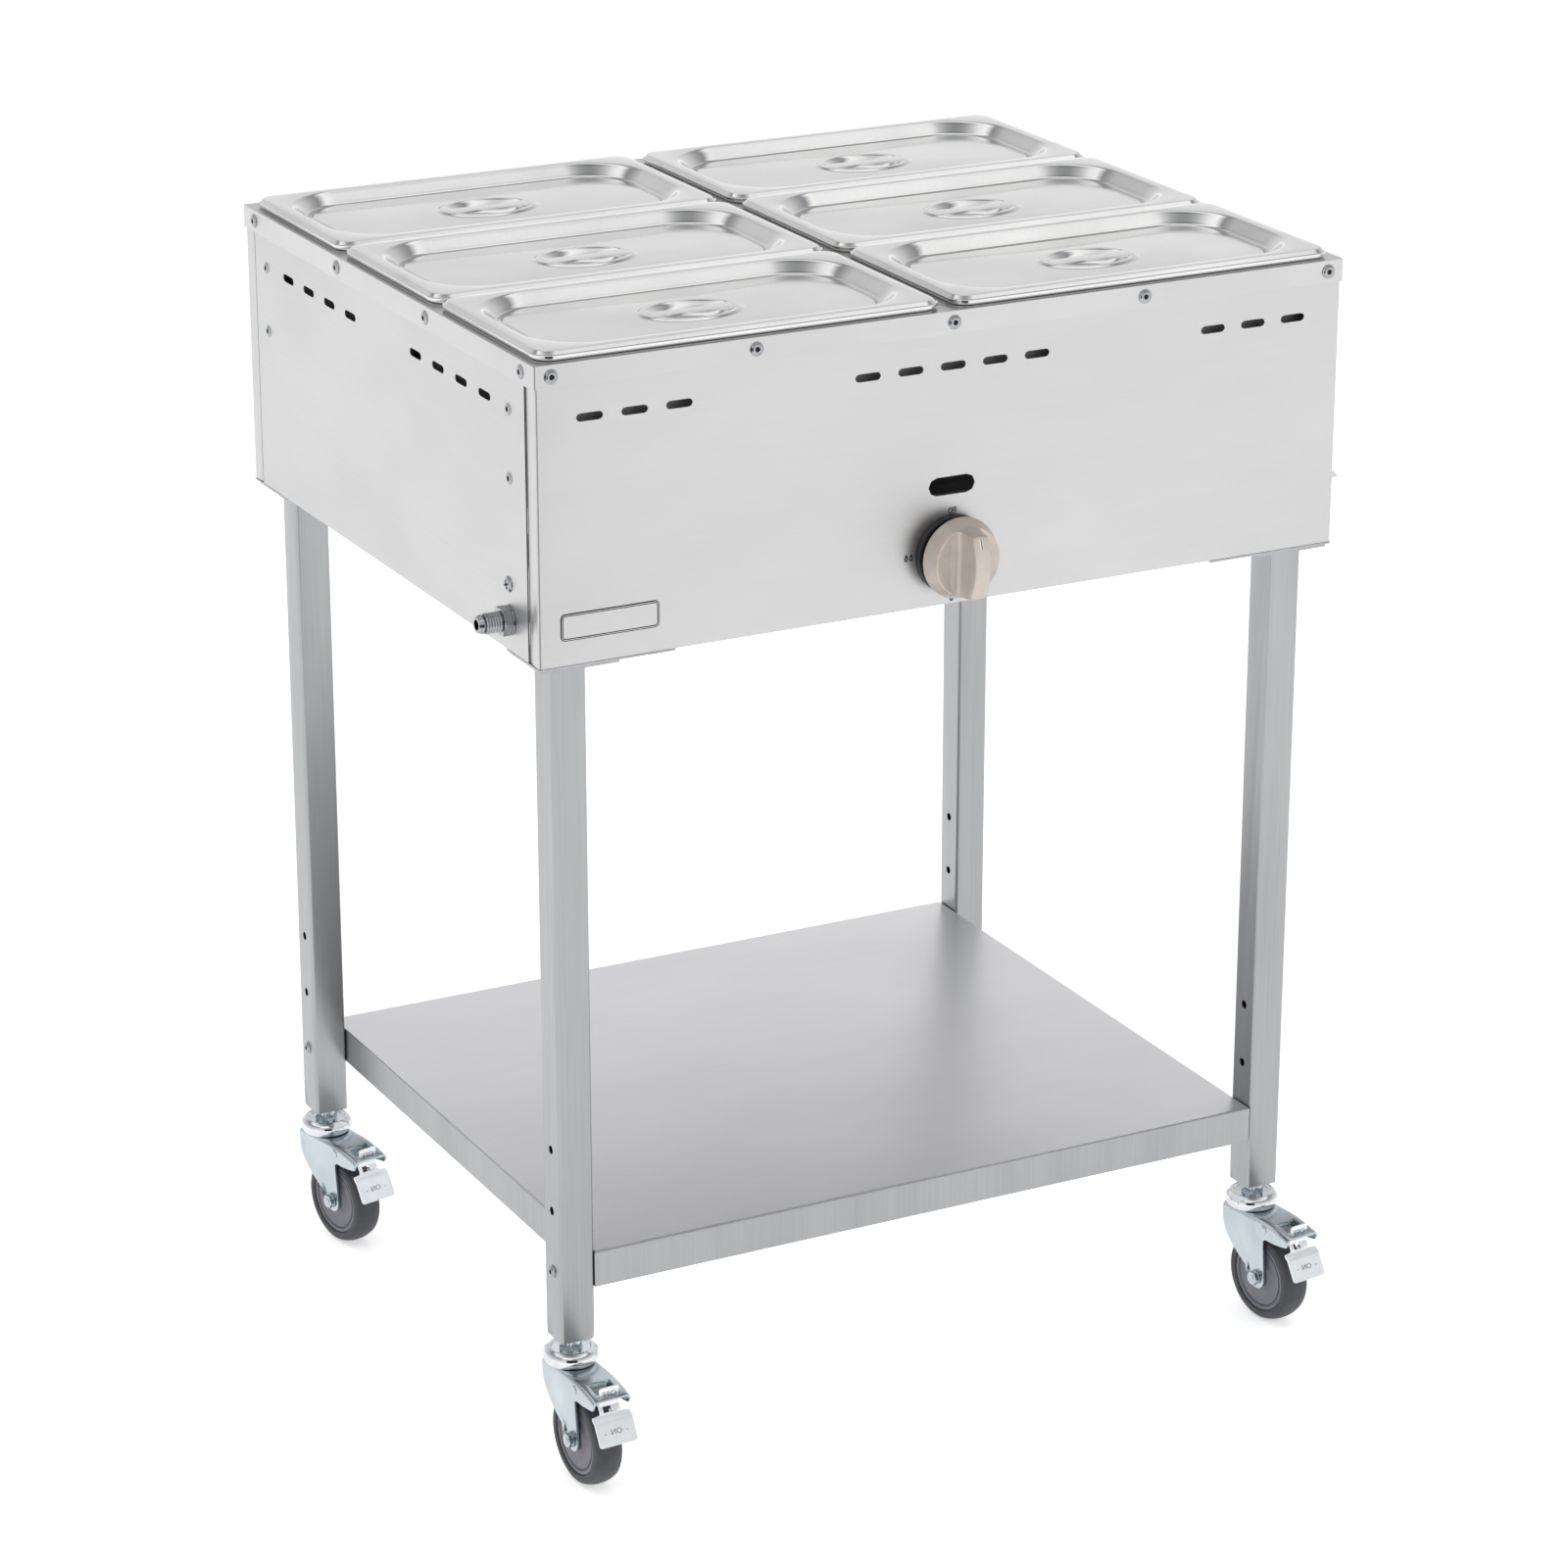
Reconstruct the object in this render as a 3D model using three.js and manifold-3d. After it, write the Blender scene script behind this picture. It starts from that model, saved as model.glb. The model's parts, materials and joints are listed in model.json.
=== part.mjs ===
// A gas steam table on casters: a sheet-steel body with six lidded pans over a water tank,
// four square legs, a lower shelf and four swivel casters with brakes.
// Units are millimetres. X runs along the front, Y to the back and Z up.
// The group ends centred on the origin, standing on Z = 0.

import * as THREE from 'three';
import { mergeVertices } from 'three/addons/utils/BufferGeometryUtils.js';
import Module from 'manifold-3d';

const wasm = await Module();
wasm.setup();

// Driving dimensions

const bodyWidth = 672;
const bodyDepth = 544;
const bodyHeight = 223;
const legLength = 544;
const casterHeight = 112;
const panLength = 325;
const panWidth = 176;
const panDepth = 100;
const columnGap = 10;
const rowGap = 2.5;
const sheet = 1;
const clearance = 0.3;
const overrun = 2;
const weldDistance = 0.0005;

// Levels

const bodyBottom = casterHeight + legLength;
const bodyTop = bodyBottom + bodyHeight;

// The casters are drawn to the height of their own pieces, then scaled to the height asked for.

const forkTop = 91;
const headHeight = 12.2;
const nutHeight = 8.5;
const drawnCasterHeight = forkTop + clearance + headHeight + nutHeight;
const casterShare = casterHeight / drawnCasterHeight;

// Colours

const brushedSteel = { color: 0xd2d2d3, roughness: 0.34, metalness: 1 };
const polishedSteel = { color: 0xdcdcde, roughness: 0.16, metalness: 1 };
const grainedSteel = { color: 0xa7a6a4, roughness: 0.42, metalness: 1 };
const zincPlate = { color: 0xc4cfd6, roughness: 0.3, metalness: 1 };
const brass = { color: 0xb99a55, roughness: 0.35, metalness: 1 };
const castIron = { color: 0x3c3c3e, roughness: 0.7, metalness: 0.6 };
const tanPlastic = { color: 0xa89a8a, roughness: 0.4, metalness: 0.1 };
const blackPlastic = { color: 0x232325, roughness: 0.5, metalness: 0 };
const greyPlastic = { color: 0x77767d, roughness: 0.5, metalness: 0 };
const greyRubber = { color: 0x3e3f41, roughness: 0.8, metalness: 0 };

// Solids and geometries

function solidOf(geometry) {
  const bare = geometry.clone();
  bare.deleteAttribute('normal');
  bare.deleteAttribute('uv');
  const merged = mergeVertices(bare, weldDistance);
  const corners = merged.index.array;
  const kept = [];
  for (let first = 0; first < corners.length; first += 3) {
    const [a, b, c] = corners.slice(first, first + 3);
    if (a !== b && b !== c && c !== a) kept.push(a, b, c);
  }
  return new wasm.Manifold(new wasm.Mesh({
    numProp: 3,
    vertProperties: merged.attributes.position.array,
    triVerts: new Uint32Array(kept),
  }));
}

function geometryOf(manifold) {
  const mesh = manifold.getMesh();
  const geometry = new THREE.BufferGeometry();
  geometry.setAttribute('position', new THREE.BufferAttribute(mesh.vertProperties, 3));
  geometry.setIndex(new THREE.BufferAttribute(mesh.triVerts, 1));
  geometry.computeVertexNormals();
  return geometry;
}

function joined(solids) {
  return solids.reduce((sum, next) => sum.add(next));
}

// A block between two corners, each given as [x, y, z].
function block(low, high) {
  const size = high.map((value, axis) => value - low[axis]);
  const middle = high.map((value, axis) => (value + low[axis]) / 2);
  return solidOf(new THREE.BoxGeometry(...size).translate(...middle));
}

// A flat outline in X and Y, extruded up from one level to another.
function plate(shape, bottom, top, curveSegments = 8) {
  const settings = { depth: top - bottom, bevelEnabled: false, curveSegments };
  return solidOf(new THREE.ExtrudeGeometry(shape, settings).translate(0, 0, bottom));
}

function outline(points) {
  return new THREE.Shape(points.map(([x, y]) => new THREE.Vector2(x, y)));
}

// A turned piece about Z from [radius, height] points that run up its outside.
function turned(points, segments) {
  const profile = points.map(([radius, height]) => new THREE.Vector2(radius, height));
  return solidOf(new THREE.LatheGeometry(profile, segments).rotateX(Math.PI / 2));
}

// A straight round bar along Z.
function bar(radius, bottom, top, segments = 16) {
  const geometry = new THREE.CylinderGeometry(radius, radius, top - bottom, segments);
  return solidOf(geometry.rotateX(Math.PI / 2).translate(0, 0, (top + bottom) / 2));
}

// A slot with round ends in X and Y, about the origin.
function slotShape(length, height) {
  const radius = height / 2;
  const reach = length / 2 - radius;
  const shape = new THREE.Shape();
  shape.absarc(reach, 0, radius, -Math.PI / 2, Math.PI / 2);
  shape.absarc(-reach, 0, radius, Math.PI / 2, Math.PI * 3 / 2);
  return shape;
}

// A ring of points round a rectangle with round corners, anticlockwise from +X.
// Every ring has the same number of points, so rings can be joined one to one.
const cornerSteps = 3;

function ring(halfX, halfY, radius, z) {
  const signs = [[1, 1], [-1, 1], [-1, -1], [1, -1]];
  return signs.flatMap(([signX, signY], quarter) => {
    const steps = Array.from({ length: cornerSteps + 1 }, (unused, step) => step / cornerSteps);
    return steps.map((share) => {
      const angle = (quarter + share) * Math.PI / 2;
      const x = signX * (halfX - radius) + radius * Math.cos(angle);
      const y = signY * (halfY - radius) + radius * Math.sin(angle);
      return [x, y, z];
    });
  });
}

// An oval ring with the same number of points as the rings above.
function ovalRing(halfX, halfY, z) {
  const count = 4 * (cornerSteps + 1);
  return Array.from({ length: count }, (unused, step) => {
    const angle = (step + 1 / 2) / count * Math.PI * 2;
    return [halfX * Math.cos(angle), halfY * Math.sin(angle), z];
  });
}

// A closed skin through rings: the first and the last ring are filled.
function loft(rings) {
  const count = rings[0].length;
  const index = [];
  for (let row = 0; row + 1 < rings.length; row += 1) {
    for (let step = 0; step < count; step += 1) {
      const here = row * count + step;
      const beside = row * count + (step + 1) % count;
      index.push(here, beside, beside + count);
      index.push(here, beside + count, here + count);
    }
  }
  const last = (rings.length - 1) * count;
  for (let step = 1; step + 1 < count; step += 1) {
    index.push(0, step + 1, step);
    index.push(last, last + step, last + step + 1);
  }
  const geometry = new THREE.BufferGeometry();
  const positions = new Float32Array(rings.flat(2));
  geometry.setAttribute('position', new THREE.BufferAttribute(positions, 3));
  geometry.setIndex(index);
  return solidOf(geometry);
}

// A tube along a smooth curve through points, with a round bore where one is given.
function tube(points, radius, bore, steps, segments) {
  const section = new THREE.Shape();
  section.absarc(0, 0, radius, 0, Math.PI * 2);
  if (bore > 0) {
    const hole = new THREE.Path();
    hole.absarc(0, 0, bore, 0, Math.PI * 2);
    section.holes.push(hole);
  }
  const vectors = points.map((point) => new THREE.Vector3(...point));
  const path = new THREE.CatmullRomCurve3(vectors, false, 'catmullrom', 0);
  const settings = { extrudePath: path, steps, curveSegments: segments / 2 };
  return solidOf(new THREE.ExtrudeGeometry(section, settings));
}

// The object

const table = new THREE.Group();
table.name = 'steam_table';

function addMesh(group, name, geometry, look) {
  const mesh = new THREE.Mesh(geometry, new THREE.MeshStandardMaterial(look));
  mesh.name = name;
  group.add(mesh);
  return mesh;
}

function addPiece(name, solid, look) {
  return addMesh(table, name, geometryOf(solid), look);
}

// Cap frame: an angle-section ring on the body's top edge, held by pop rivets

const capFlange = 18.5;
const capSkirt = 17.5;
const capRivetRadius = 5;
const capRivetCrownRadius = 3.4;
const capRivetHeight = 1.6;
const capRivetDrop = 8.6;
const capRivetFromCorner = 13.4;
const capRivetFromSideCorner = 22;
const capRivetGapsFront = 4;
const capRivetGapsSide = 3;

function rivetHead(radius, crownRadius, height) {
  return turned([[0, -sheet / 2], [radius, -sheet / 2], [crownRadius, height], [0, height]], 8);
}

// Head places along one edge of the given length, evenly spaced between the corner ones.
function rivetRow(length, fromCorner, gaps) {
  const span = length - 2 * fromCorner;
  return Array.from({ length: gaps + 1 }, (unused, step) => -span / 2 + span * step / gaps);
}

function capRivets() {
  const head = rivetHead(capRivetRadius, capRivetCrownRadius, capRivetHeight);
  const level = bodyTop - capRivetDrop;
  const heads = [];
  for (const x of rivetRow(bodyWidth, capRivetFromCorner, capRivetGapsFront)) {
    heads.push(head.rotate([90, 0, 0]).translate([x, -bodyDepth / 2, level]));
    heads.push(head.rotate([-90, 0, 0]).translate([x, bodyDepth / 2, level]));
  }
  for (const y of rivetRow(bodyDepth, capRivetFromSideCorner, capRivetGapsSide)) {
    heads.push(head.rotate([0, -90, 0]).translate([-bodyWidth / 2, y, level]));
    heads.push(head.rotate([0, 90, 0]).translate([bodyWidth / 2, y, level]));
  }
  return heads;
}

function topFrame() {
  const halfX = bodyWidth / 2;
  const halfY = bodyDepth / 2;
  const bottom = bodyTop - capSkirt;
  const whole = block([-halfX, -halfY, bottom], [halfX, halfY, bodyTop]);
  const hollow = block(
    [-halfX + sheet, -halfY + sheet, bottom - overrun],
    [halfX - sheet, halfY - sheet, bodyTop - sheet],
  );
  const mouth = block(
    [-halfX + capFlange, -halfY + capFlange, bottom],
    [halfX - capFlange, halfY - capFlange, bodyTop + overrun],
  );
  return joined([whole.subtract(hollow).subtract(mouth), ...capRivets()]);
}

addPiece('top_frame', topFrame(), brushedSteel);

// Body panels: front and back wrap round the corners, the sides lie between their returns

const panelReturn = 17.5;
const panelBend = 2;
const panelLip = 12;
const panelHalfX = bodyWidth / 2 - sheet - clearance;
const panelHalfY = bodyDepth / 2 - sheet - clearance;
const panelTop = bodyTop - sheet - clearance;

const ventLength = 21;
const ventHeight = 6;
const ventDrop = 41.3;
const ventPitch = 35.2;
const ventSideSpread = 257.4;
const ventSidePitch = 41;
const ventSideRows = 123;

const sightLength = 39;
const sightHeight = 14;
const sightDrop = 132;

const knobRise = 39.1;
const shaftHole = 6;

const panelRivetRadius = 4.6;
const panelRivetCrown = 3;
const panelRivetHeight = 1.2;
const panelRivetDrops = [42, 93];
const panelRivetFromFront = 47;
const panelRivetFromBack = 42;

const inletFromFront = 51.5;
const inletRise = 23;
const inletHole = 6.8;
const inletScrewRise = 50;
const inletScrewRadius = 6;
const inletScrewCrown = 4;
const inletScrewHeight = 2.4;
const pipeClearance = 0.8;

const spoutFromFront = 50;
const spoutRise = 42;
const spoutRadius = 8;

// Vent centres along the front, as two groups of three and one of five.
function frontVents() {
  const centre = [-2, -1, 0, 1, 2].map((step) => step * ventPitch);
  const side = [-1, 0, 1].map((step) => step * ventPitch);
  return [...centre, ...side.map((x) => x - ventSideSpread), ...side.map((x) => x + ventSideSpread)];
}

// Vent centres along a side, as two groups of four.
function sideVents() {
  const four = [-1.5, -0.5, 0.5, 1.5].map((step) => step * ventSidePitch);
  return [...four.map((y) => y - ventSideRows), ...four.map((y) => y + ventSideRows)];
}

// Cutters drawn about Z, longer than a panel is thick.
function slotCutter(length, height) {
  return plate(slotShape(length, height), -overrun * 2, overrun * 2, 2);
}

function roundCutter(radius) {
  return bar(radius, -overrun * 2, overrun * 2, 12);
}

function acrossFront(cutter, x, z) {
  return cutter.rotate([90, 0, 0]).translate([x, -panelHalfY, z]);
}

function acrossSide(cutter, y, z) {
  return cutter.rotate([90, 0, 90]).translate([panelHalfX, y, z]);
}

// The front panel's plan: the front and its two returns, with round outer bends.
function wrapShape() {
  const back = -panelHalfY + panelReturn;
  const inner = panelHalfX - sheet;
  const shape = new THREE.Shape();
  shape.moveTo(-panelHalfX, back);
  shape.absarc(-panelHalfX + panelBend, -panelHalfY + panelBend, panelBend, Math.PI, Math.PI * 3 / 2);
  shape.absarc(panelHalfX - panelBend, -panelHalfY + panelBend, panelBend, -Math.PI / 2, 0);
  shape.lineTo(panelHalfX, back);
  shape.lineTo(inner, back);
  shape.lineTo(inner, -panelHalfY + sheet);
  shape.lineTo(-inner, -panelHalfY + sheet);
  shape.lineTo(-inner, back);
  return shape;
}

function wrapPanel() {
  const skin = plate(wrapShape(), bodyBottom, panelTop, 4);
  const lip = block(
    [-panelHalfX + sheet / 2, -panelHalfY + sheet / 2, bodyBottom],
    [panelHalfX - sheet / 2, -panelHalfY + panelLip, bodyBottom + sheet],
  );
  const vent = slotCutter(ventLength, ventHeight);
  const cutters = frontVents().map((x) => acrossFront(vent, x, bodyTop - ventDrop));
  return skin.add(lip).subtract(joined(cutters));
}

function frontPanel() {
  const sight = acrossFront(slotCutter(sightLength, sightHeight), 0, bodyTop - sightDrop);
  const shaft = acrossFront(roundCutter(shaftHole), 0, bodyBottom + knobRise);
  return wrapPanel().subtract(sight).subtract(shaft);
}

function sidePanel() {
  const halfY = panelHalfY - panelReturn - clearance;
  const skin = block([panelHalfX - sheet, -halfY, bodyBottom], [panelHalfX, halfY, panelTop]);
  const lip = block([panelHalfX - panelLip, -halfY, bodyBottom], [panelHalfX, halfY, bodyBottom + sheet]);
  const vent = slotCutter(ventLength, ventHeight);
  const cutters = sideVents().map((y) => acrossSide(vent, y, bodyTop - ventDrop));
  const head = rivetHead(panelRivetRadius, panelRivetCrown, panelRivetHeight).rotate([0, 90, 0]);
  const places = [-bodyDepth / 2 + panelRivetFromFront, bodyDepth / 2 - panelRivetFromBack];
  const heads = places.flatMap((y) => panelRivetDrops.map(
    (drop) => head.translate([panelHalfX, y, bodyTop - drop]),
  ));
  return joined([skin, lip, ...heads]).subtract(joined(cutters));
}

function leftPanel() {
  const y = -bodyDepth / 2 + inletFromFront;
  const inlet = acrossSide(roundCutter(inletHole + pipeClearance), y, bodyBottom + inletRise);
  const screw = rivetHead(inletScrewRadius, inletScrewCrown, inletScrewHeight).rotate([0, 90, 0]);
  const screwed = sidePanel().add(screw.translate([panelHalfX, y, bodyBottom + inletScrewRise]));
  return screwed.subtract(inlet).mirror([1, 0, 0]);
}

function rightPanel() {
  const y = -bodyDepth / 2 + spoutFromFront;
  const hole = acrossSide(roundCutter(spoutRadius + pipeClearance), y, bodyBottom + spoutRise);
  return sidePanel().subtract(hole);
}

addPiece('front_panel', frontPanel(), brushedSteel);
addPiece('back_panel', wrapPanel().mirror([0, 1, 0]), brushedSteel);
addPiece('left_panel', leftPanel(), brushedSteel);
addPiece('right_panel', rightPanel(), brushedSteel);

// Pans and lids: gastronorm third size

const flangeWidth = 15;
const lidFlangeWidth = 13;
const flangeHeight = 2;
const flangeCorner = 15;
const mouthCorner = 44;
const panSlope = 11;
const panFoot = 5;
const panFootInset = 8;
const panFootCorner = 34;

const panBottom = bodyTop - panDepth;
const flangeBottom = bodyTop + clearance;
const flangeTop = flangeBottom + flangeHeight;
const wallHalfX = panLength / 2 - flangeWidth;
const wallHalfY = panWidth / 2 - flangeWidth;
const recessHalfX = panLength / 2 - lidFlangeWidth;
const recessHalfY = panWidth / 2 - lidFlangeWidth;

// One pan about its own centre: up the outside, over the flange and down the inside.
function panSolid() {
  const footX = wallHalfX - panSlope;
  const footY = wallHalfY - panSlope;
  const floorX = footX - panFootInset;
  const floorY = footY - panFootInset;
  const floorCorner = panFootCorner - panFootInset;
  const bend = panBottom + panFoot;
  return loft([
    ring(floorX, floorY, floorCorner, panBottom),
    ring(footX + sheet, footY + sheet, panFootCorner, bend),
    ring(wallHalfX + sheet, wallHalfY + sheet, mouthCorner, flangeBottom),
    ring(panLength / 2, panWidth / 2, flangeCorner, flangeBottom),
    ring(panLength / 2, panWidth / 2, flangeCorner, flangeTop),
    ring(wallHalfX, wallHalfY, mouthCorner, flangeTop),
    ring(footX, footY, panFootCorner, bend + sheet / 2),
    ring(floorX, floorY, floorCorner, panBottom + sheet),
  ]);
}

const lidEdgeDrop = 4.4;
const lidCrown = 3.5;
const lidCrownDrop = 2.6;
const recessCorner = 50;
const recessWall = 9;
const recessDepth = 9;
const gripRingHalfX = 41.5;
const gripRingHalfY = 30;
const gripRingSlope = 3;
const gripRingHeight = 1.4;
const bowlHalfX = 33.5;
const bowlHalfY = 24;
const bowlWaistInset = 5;
const bowlWaistDepth = 6;
const bowlFloorInset = 13;
const bowlDepth = 10;
const strapWidth = 12;
const strapShift = -3;
const strapThickness = 1.6;
const strapProud = 0.25;

const lidTop = flangeTop + clearance + lidEdgeDrop;

// One lid about its own centre: out along the underside, round the edge and in along the top.
function lidSkin() {
  const halfX = panLength / 2;
  const halfY = panWidth / 2;
  const floor = lidTop - recessDepth;
  const ringTop = floor + gripRingHeight;
  const wallX = recessHalfX - recessWall;
  const wallY = recessHalfY - recessWall;
  const wallCorner = recessCorner - recessWall;
  const crownX = halfX - lidCrown;
  const crownY = halfY - lidCrown;
  const crownCorner = flangeCorner - lidCrown;
  const ringX = gripRingHalfX - gripRingSlope;
  const ringY = gripRingHalfY - gripRingSlope;
  const waistX = bowlHalfX - bowlWaistInset;
  const waistY = bowlHalfY - bowlWaistInset;
  const footX = bowlHalfX - bowlFloorInset;
  const footY = bowlHalfY - bowlFloorInset;
  return loft([
    ovalRing(footX, footY, ringTop - bowlDepth - sheet),
    ovalRing(bowlHalfX + sheet, bowlHalfY + sheet, floor - sheet),
    ring(wallX + sheet / 2, wallY + sheet / 2, wallCorner, floor - sheet),
    ring(recessHalfX - sheet / 2, recessHalfY - sheet / 2, recessCorner, lidTop - sheet),
    ring(halfX - sheet, halfY - sheet, flangeCorner - sheet, lidTop - lidEdgeDrop),
    ring(halfX, halfY, flangeCorner, lidTop - lidEdgeDrop),
    ring(halfX, halfY, flangeCorner, lidTop - lidCrownDrop),
    ring(crownX, crownY, crownCorner, lidTop),
    ring(recessHalfX, recessHalfY, recessCorner, lidTop),
    ring(wallX, wallY, wallCorner, floor),
    ovalRing(gripRingHalfX, gripRingHalfY, floor),
    ovalRing(ringX, ringY, ringTop),
    ovalRing(bowlHalfX, bowlHalfY, ringTop),
    ovalRing(waistX, waistY, ringTop - bowlWaistDepth),
    ovalRing(footX, footY, ringTop - bowlDepth),
  ]);
}

// The finger strap spans the bowl, a little in front of its middle.
function lidStrap() {
  const top = lidTop - recessDepth + gripRingHeight;
  const reach = bowlHalfX + sheet / 2;
  return block(
    [-reach, strapShift - strapWidth / 2, top - strapThickness + strapProud],
    [reach, strapShift + strapWidth / 2, top + strapProud],
  );
}

const columns = { left: -1, right: 1 };
const rows = { front: -1, middle: 0, back: 1 };
const columnReach = (panLength + columnGap) / 2;
const rowPitch = panWidth + rowGap;

function addPansAndLids() {
  const panGeometry = geometryOf(panSolid());
  const lidGeometry = geometryOf(lidSkin().add(lidStrap()));
  for (const [row, rowSign] of Object.entries(rows)) {
    for (const [column, columnSign] of Object.entries(columns)) {
      const place = new THREE.Vector3(columnSign * columnReach, rowSign * rowPitch, 0);
      addMesh(table, `pan_${row}_${column}`, panGeometry, polishedSteel).position.copy(place);
      addMesh(table, `lid_${row}_${column}`, lidGeometry, polishedSteel).position.copy(place);
    }
  }
}

addPansAndLids();

// Divider rack: one lengthways bar and two cross bars that carry the pans' inner flanges

const dividerHalfX = 15;
const dividerHalfY = 12;
const dividerHeight = 3;

function dividerRack() {
  const reachX = bodyWidth / 2 - capFlange - clearance;
  const reachY = bodyDepth / 2 - capFlange - clearance;
  const bottom = bodyTop - dividerHeight;
  const middle = block([-dividerHalfX, -reachY, bottom], [dividerHalfX, reachY, bodyTop]);
  const crossBars = [-rowPitch / 2, rowPitch / 2].map((y) => block(
    [-reachX, y - dividerHalfY, bottom],
    [reachX, y + dividerHalfY, bodyTop],
  ));
  return joined([middle, ...crossBars]);
}

addPiece('divider_rack', dividerRack(), brushedSteel);

// Water tank: hangs by its rim under the cap frame, with a drain hole in its floor

const tankInset = 14;
const tankRim = 9;
const tankCorner = 20;
const waterUnderPans = 15;
const drainBore = 6.5;
const drainFromEnd = 38;

const tankRimTop = bodyTop - sheet - clearance;
const tankFloor = panBottom - waterUnderPans;
const tankHalfX = bodyWidth / 2 - tankInset;
const tankHalfY = bodyDepth / 2 - tankInset;
const drainX = bodyWidth / 2 - drainFromEnd;
const drainY = -bodyDepth / 2 + spoutFromFront;

function waterTank() {
  const skin = loft([
    ring(tankHalfX, tankHalfY, tankCorner, tankFloor - sheet),
    ring(tankHalfX, tankHalfY, tankCorner, tankRimTop - sheet),
    ring(tankHalfX + tankRim, tankHalfY + tankRim, tankCorner, tankRimTop - sheet),
    ring(tankHalfX + tankRim, tankHalfY + tankRim, tankCorner, tankRimTop),
    ring(tankHalfX - sheet, tankHalfY - sheet, tankCorner - sheet, tankRimTop),
    ring(tankHalfX - sheet, tankHalfY - sheet, tankCorner - sheet, tankFloor),
  ]);
  const drain = bar(drainBore, tankFloor - overrun, tankFloor + overrun, 12);
  return skin.subtract(drain.translate([drainX, drainY, 0]));
}

addPiece('water_tank', waterTank(), brushedSteel);

// Drain spout: from the tank floor down and out through the right panel, its end cut aslant
// so that the lower side is the longer one

const spoutReach = 36;
const spoutBend = 16;
const spoutFlange = 13;
const spoutFlangeHeight = 2;
const spoutCutLead = 22;

function drainSpout() {
  const top = tankFloor - sheet - clearance;
  const level = bodyBottom + spoutRise;
  const end = bodyWidth / 2 + spoutReach;
  const pipe = tube([
    [drainX, drainY, top],
    [drainX, drainY, level + spoutBend],
    [drainX + spoutBend / 4, drainY, level + spoutBend / 4],
    [drainX + spoutBend, drainY, level],
    [end, drainY, level],
  ], spoutRadius, drainBore, 9, 10);
  const flange = bar(spoutFlange, top - spoutFlangeHeight, top, 12)
    .subtract(bar(drainBore, top - spoutFlangeHeight - overrun, top + overrun, 10));
  const slant = outline([
    [end - spoutCutLead, spoutRadius + overrun],
    [end + overrun, -spoutRadius - overrun],
    [end + overrun, spoutRadius + overrun],
  ]);
  const cutter = plate(slant, -spoutRadius - overrun, spoutRadius + overrun)
    .rotate([90, 0, 0])
    .translate([0, drainY, level]);
  return pipe.add(flange.translate([drainX, drainY, 0])).subtract(cutter);
}

addPiece('drain_spout', drainSpout(), brushedSteel);

// Burner: three tubes across the body, the front one behind the sight hole, joined by a spine
// and fed by a mixer tube that runs back from the valve

const burnerRadius = 12;
const burnerRoomShare = 0.574;
const burnerLevel = bodyBottom + (tankFloor - bodyBottom) * burnerRoomShare;
const burnerFromFront = 82;
const burnerSpread = bodyDepth / 2 - burnerFromFront;
const burnerEar = 18;
const mixerRun = 110;
const mixerClimb = 50;
const valveDepth = 36;
const valveWidth = 34;
const valveHeight = 30;
const nozzleLength = 14;
const nozzleRadius = 5;
const mixerMouth = 9;

const valveFront = -panelHalfY + sheet + clearance;
const valveBack = valveFront + valveDepth;
const valveRise = knobRise;
const mixerFront = valveBack + nozzleLength + clearance;

function alongX(radius, low, high, y, z) {
  return bar(radius, low, high, 10).rotate([0, 90, 0]).translate([0, y, z]);
}

function burner() {
  const level = burnerLevel;
  const reach = panelHalfX - sheet - clearance;
  const places = [-burnerSpread, 0, burnerSpread];
  const tubes = places.map((y) => alongX(burnerRadius, -reach, reach, y, level));
  const ears = [-1, 1].flatMap((side) => places.map((y) => block(
    [side * reach - (side > 0 ? sheet : 0), y - burnerEar, level - burnerEar],
    [side * reach + (side > 0 ? 0 : sheet), y + burnerEar, level + burnerEar],
  )));
  const spine = bar(burnerRadius, -burnerSpread, burnerSpread, 12)
    .rotate([-90, 0, 0])
    .translate([0, 0, level]);
  const valveLevel = bodyBottom + valveRise;
  const mixer = tube([
    [0, mixerFront, valveLevel],
    [0, mixerFront + mixerRun, valveLevel],
    [0, mixerFront + mixerRun + mixerClimb, level],
    [0, 0, level],
  ], burnerRadius, 0, 8, 12);
  const mouth = bar(mixerMouth, -overrun, burnerRadius, 12)
    .rotate([-90, 0, 0])
    .translate([0, mixerFront, valveLevel]);
  return joined([...tubes, ...ears, spine, mixer]).subtract(mouth);
}

addPiece('burner', burner(), castIron);

// Gas valve: a block behind the front panel, bored for its stem, with a nozzle to the burner

const stemRadius = 4;
const stemInValve = 14;
const knobPush = 3;
const pipeRadius = 5;

function gasValve() {
  const level = bodyBottom + valveRise;
  const body = block(
    [-valveWidth / 2, valveFront, level - valveHeight / 2],
    [valveWidth / 2, valveBack, level + valveHeight / 2],
  );
  const nozzle = bar(nozzleRadius, -sheet, nozzleLength, 12)
    .rotate([-90, 0, 0])
    .translate([0, valveBack, level]);
  const boreDepth = stemInValve + knobPush + overrun;
  const bore = bar(stemRadius + clearance, -overrun, boreDepth, 16)
    .rotate([-90, 0, 0])
    .translate([0, valveFront, level]);
  return body.add(nozzle).subtract(bore);
}

addPiece('gas_valve', gasValve(), brass);

// Gas inlet: a hexagon nut and a flare nipple through the left panel

const inletNut = 11.5;
const inletNutLength = 8;
const inletThread = 8;
const inletTip = 5.8;
const inletReach = 26;
const inletCone = 4;
const inletTail = 12;
const inletBore = 4;

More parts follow.
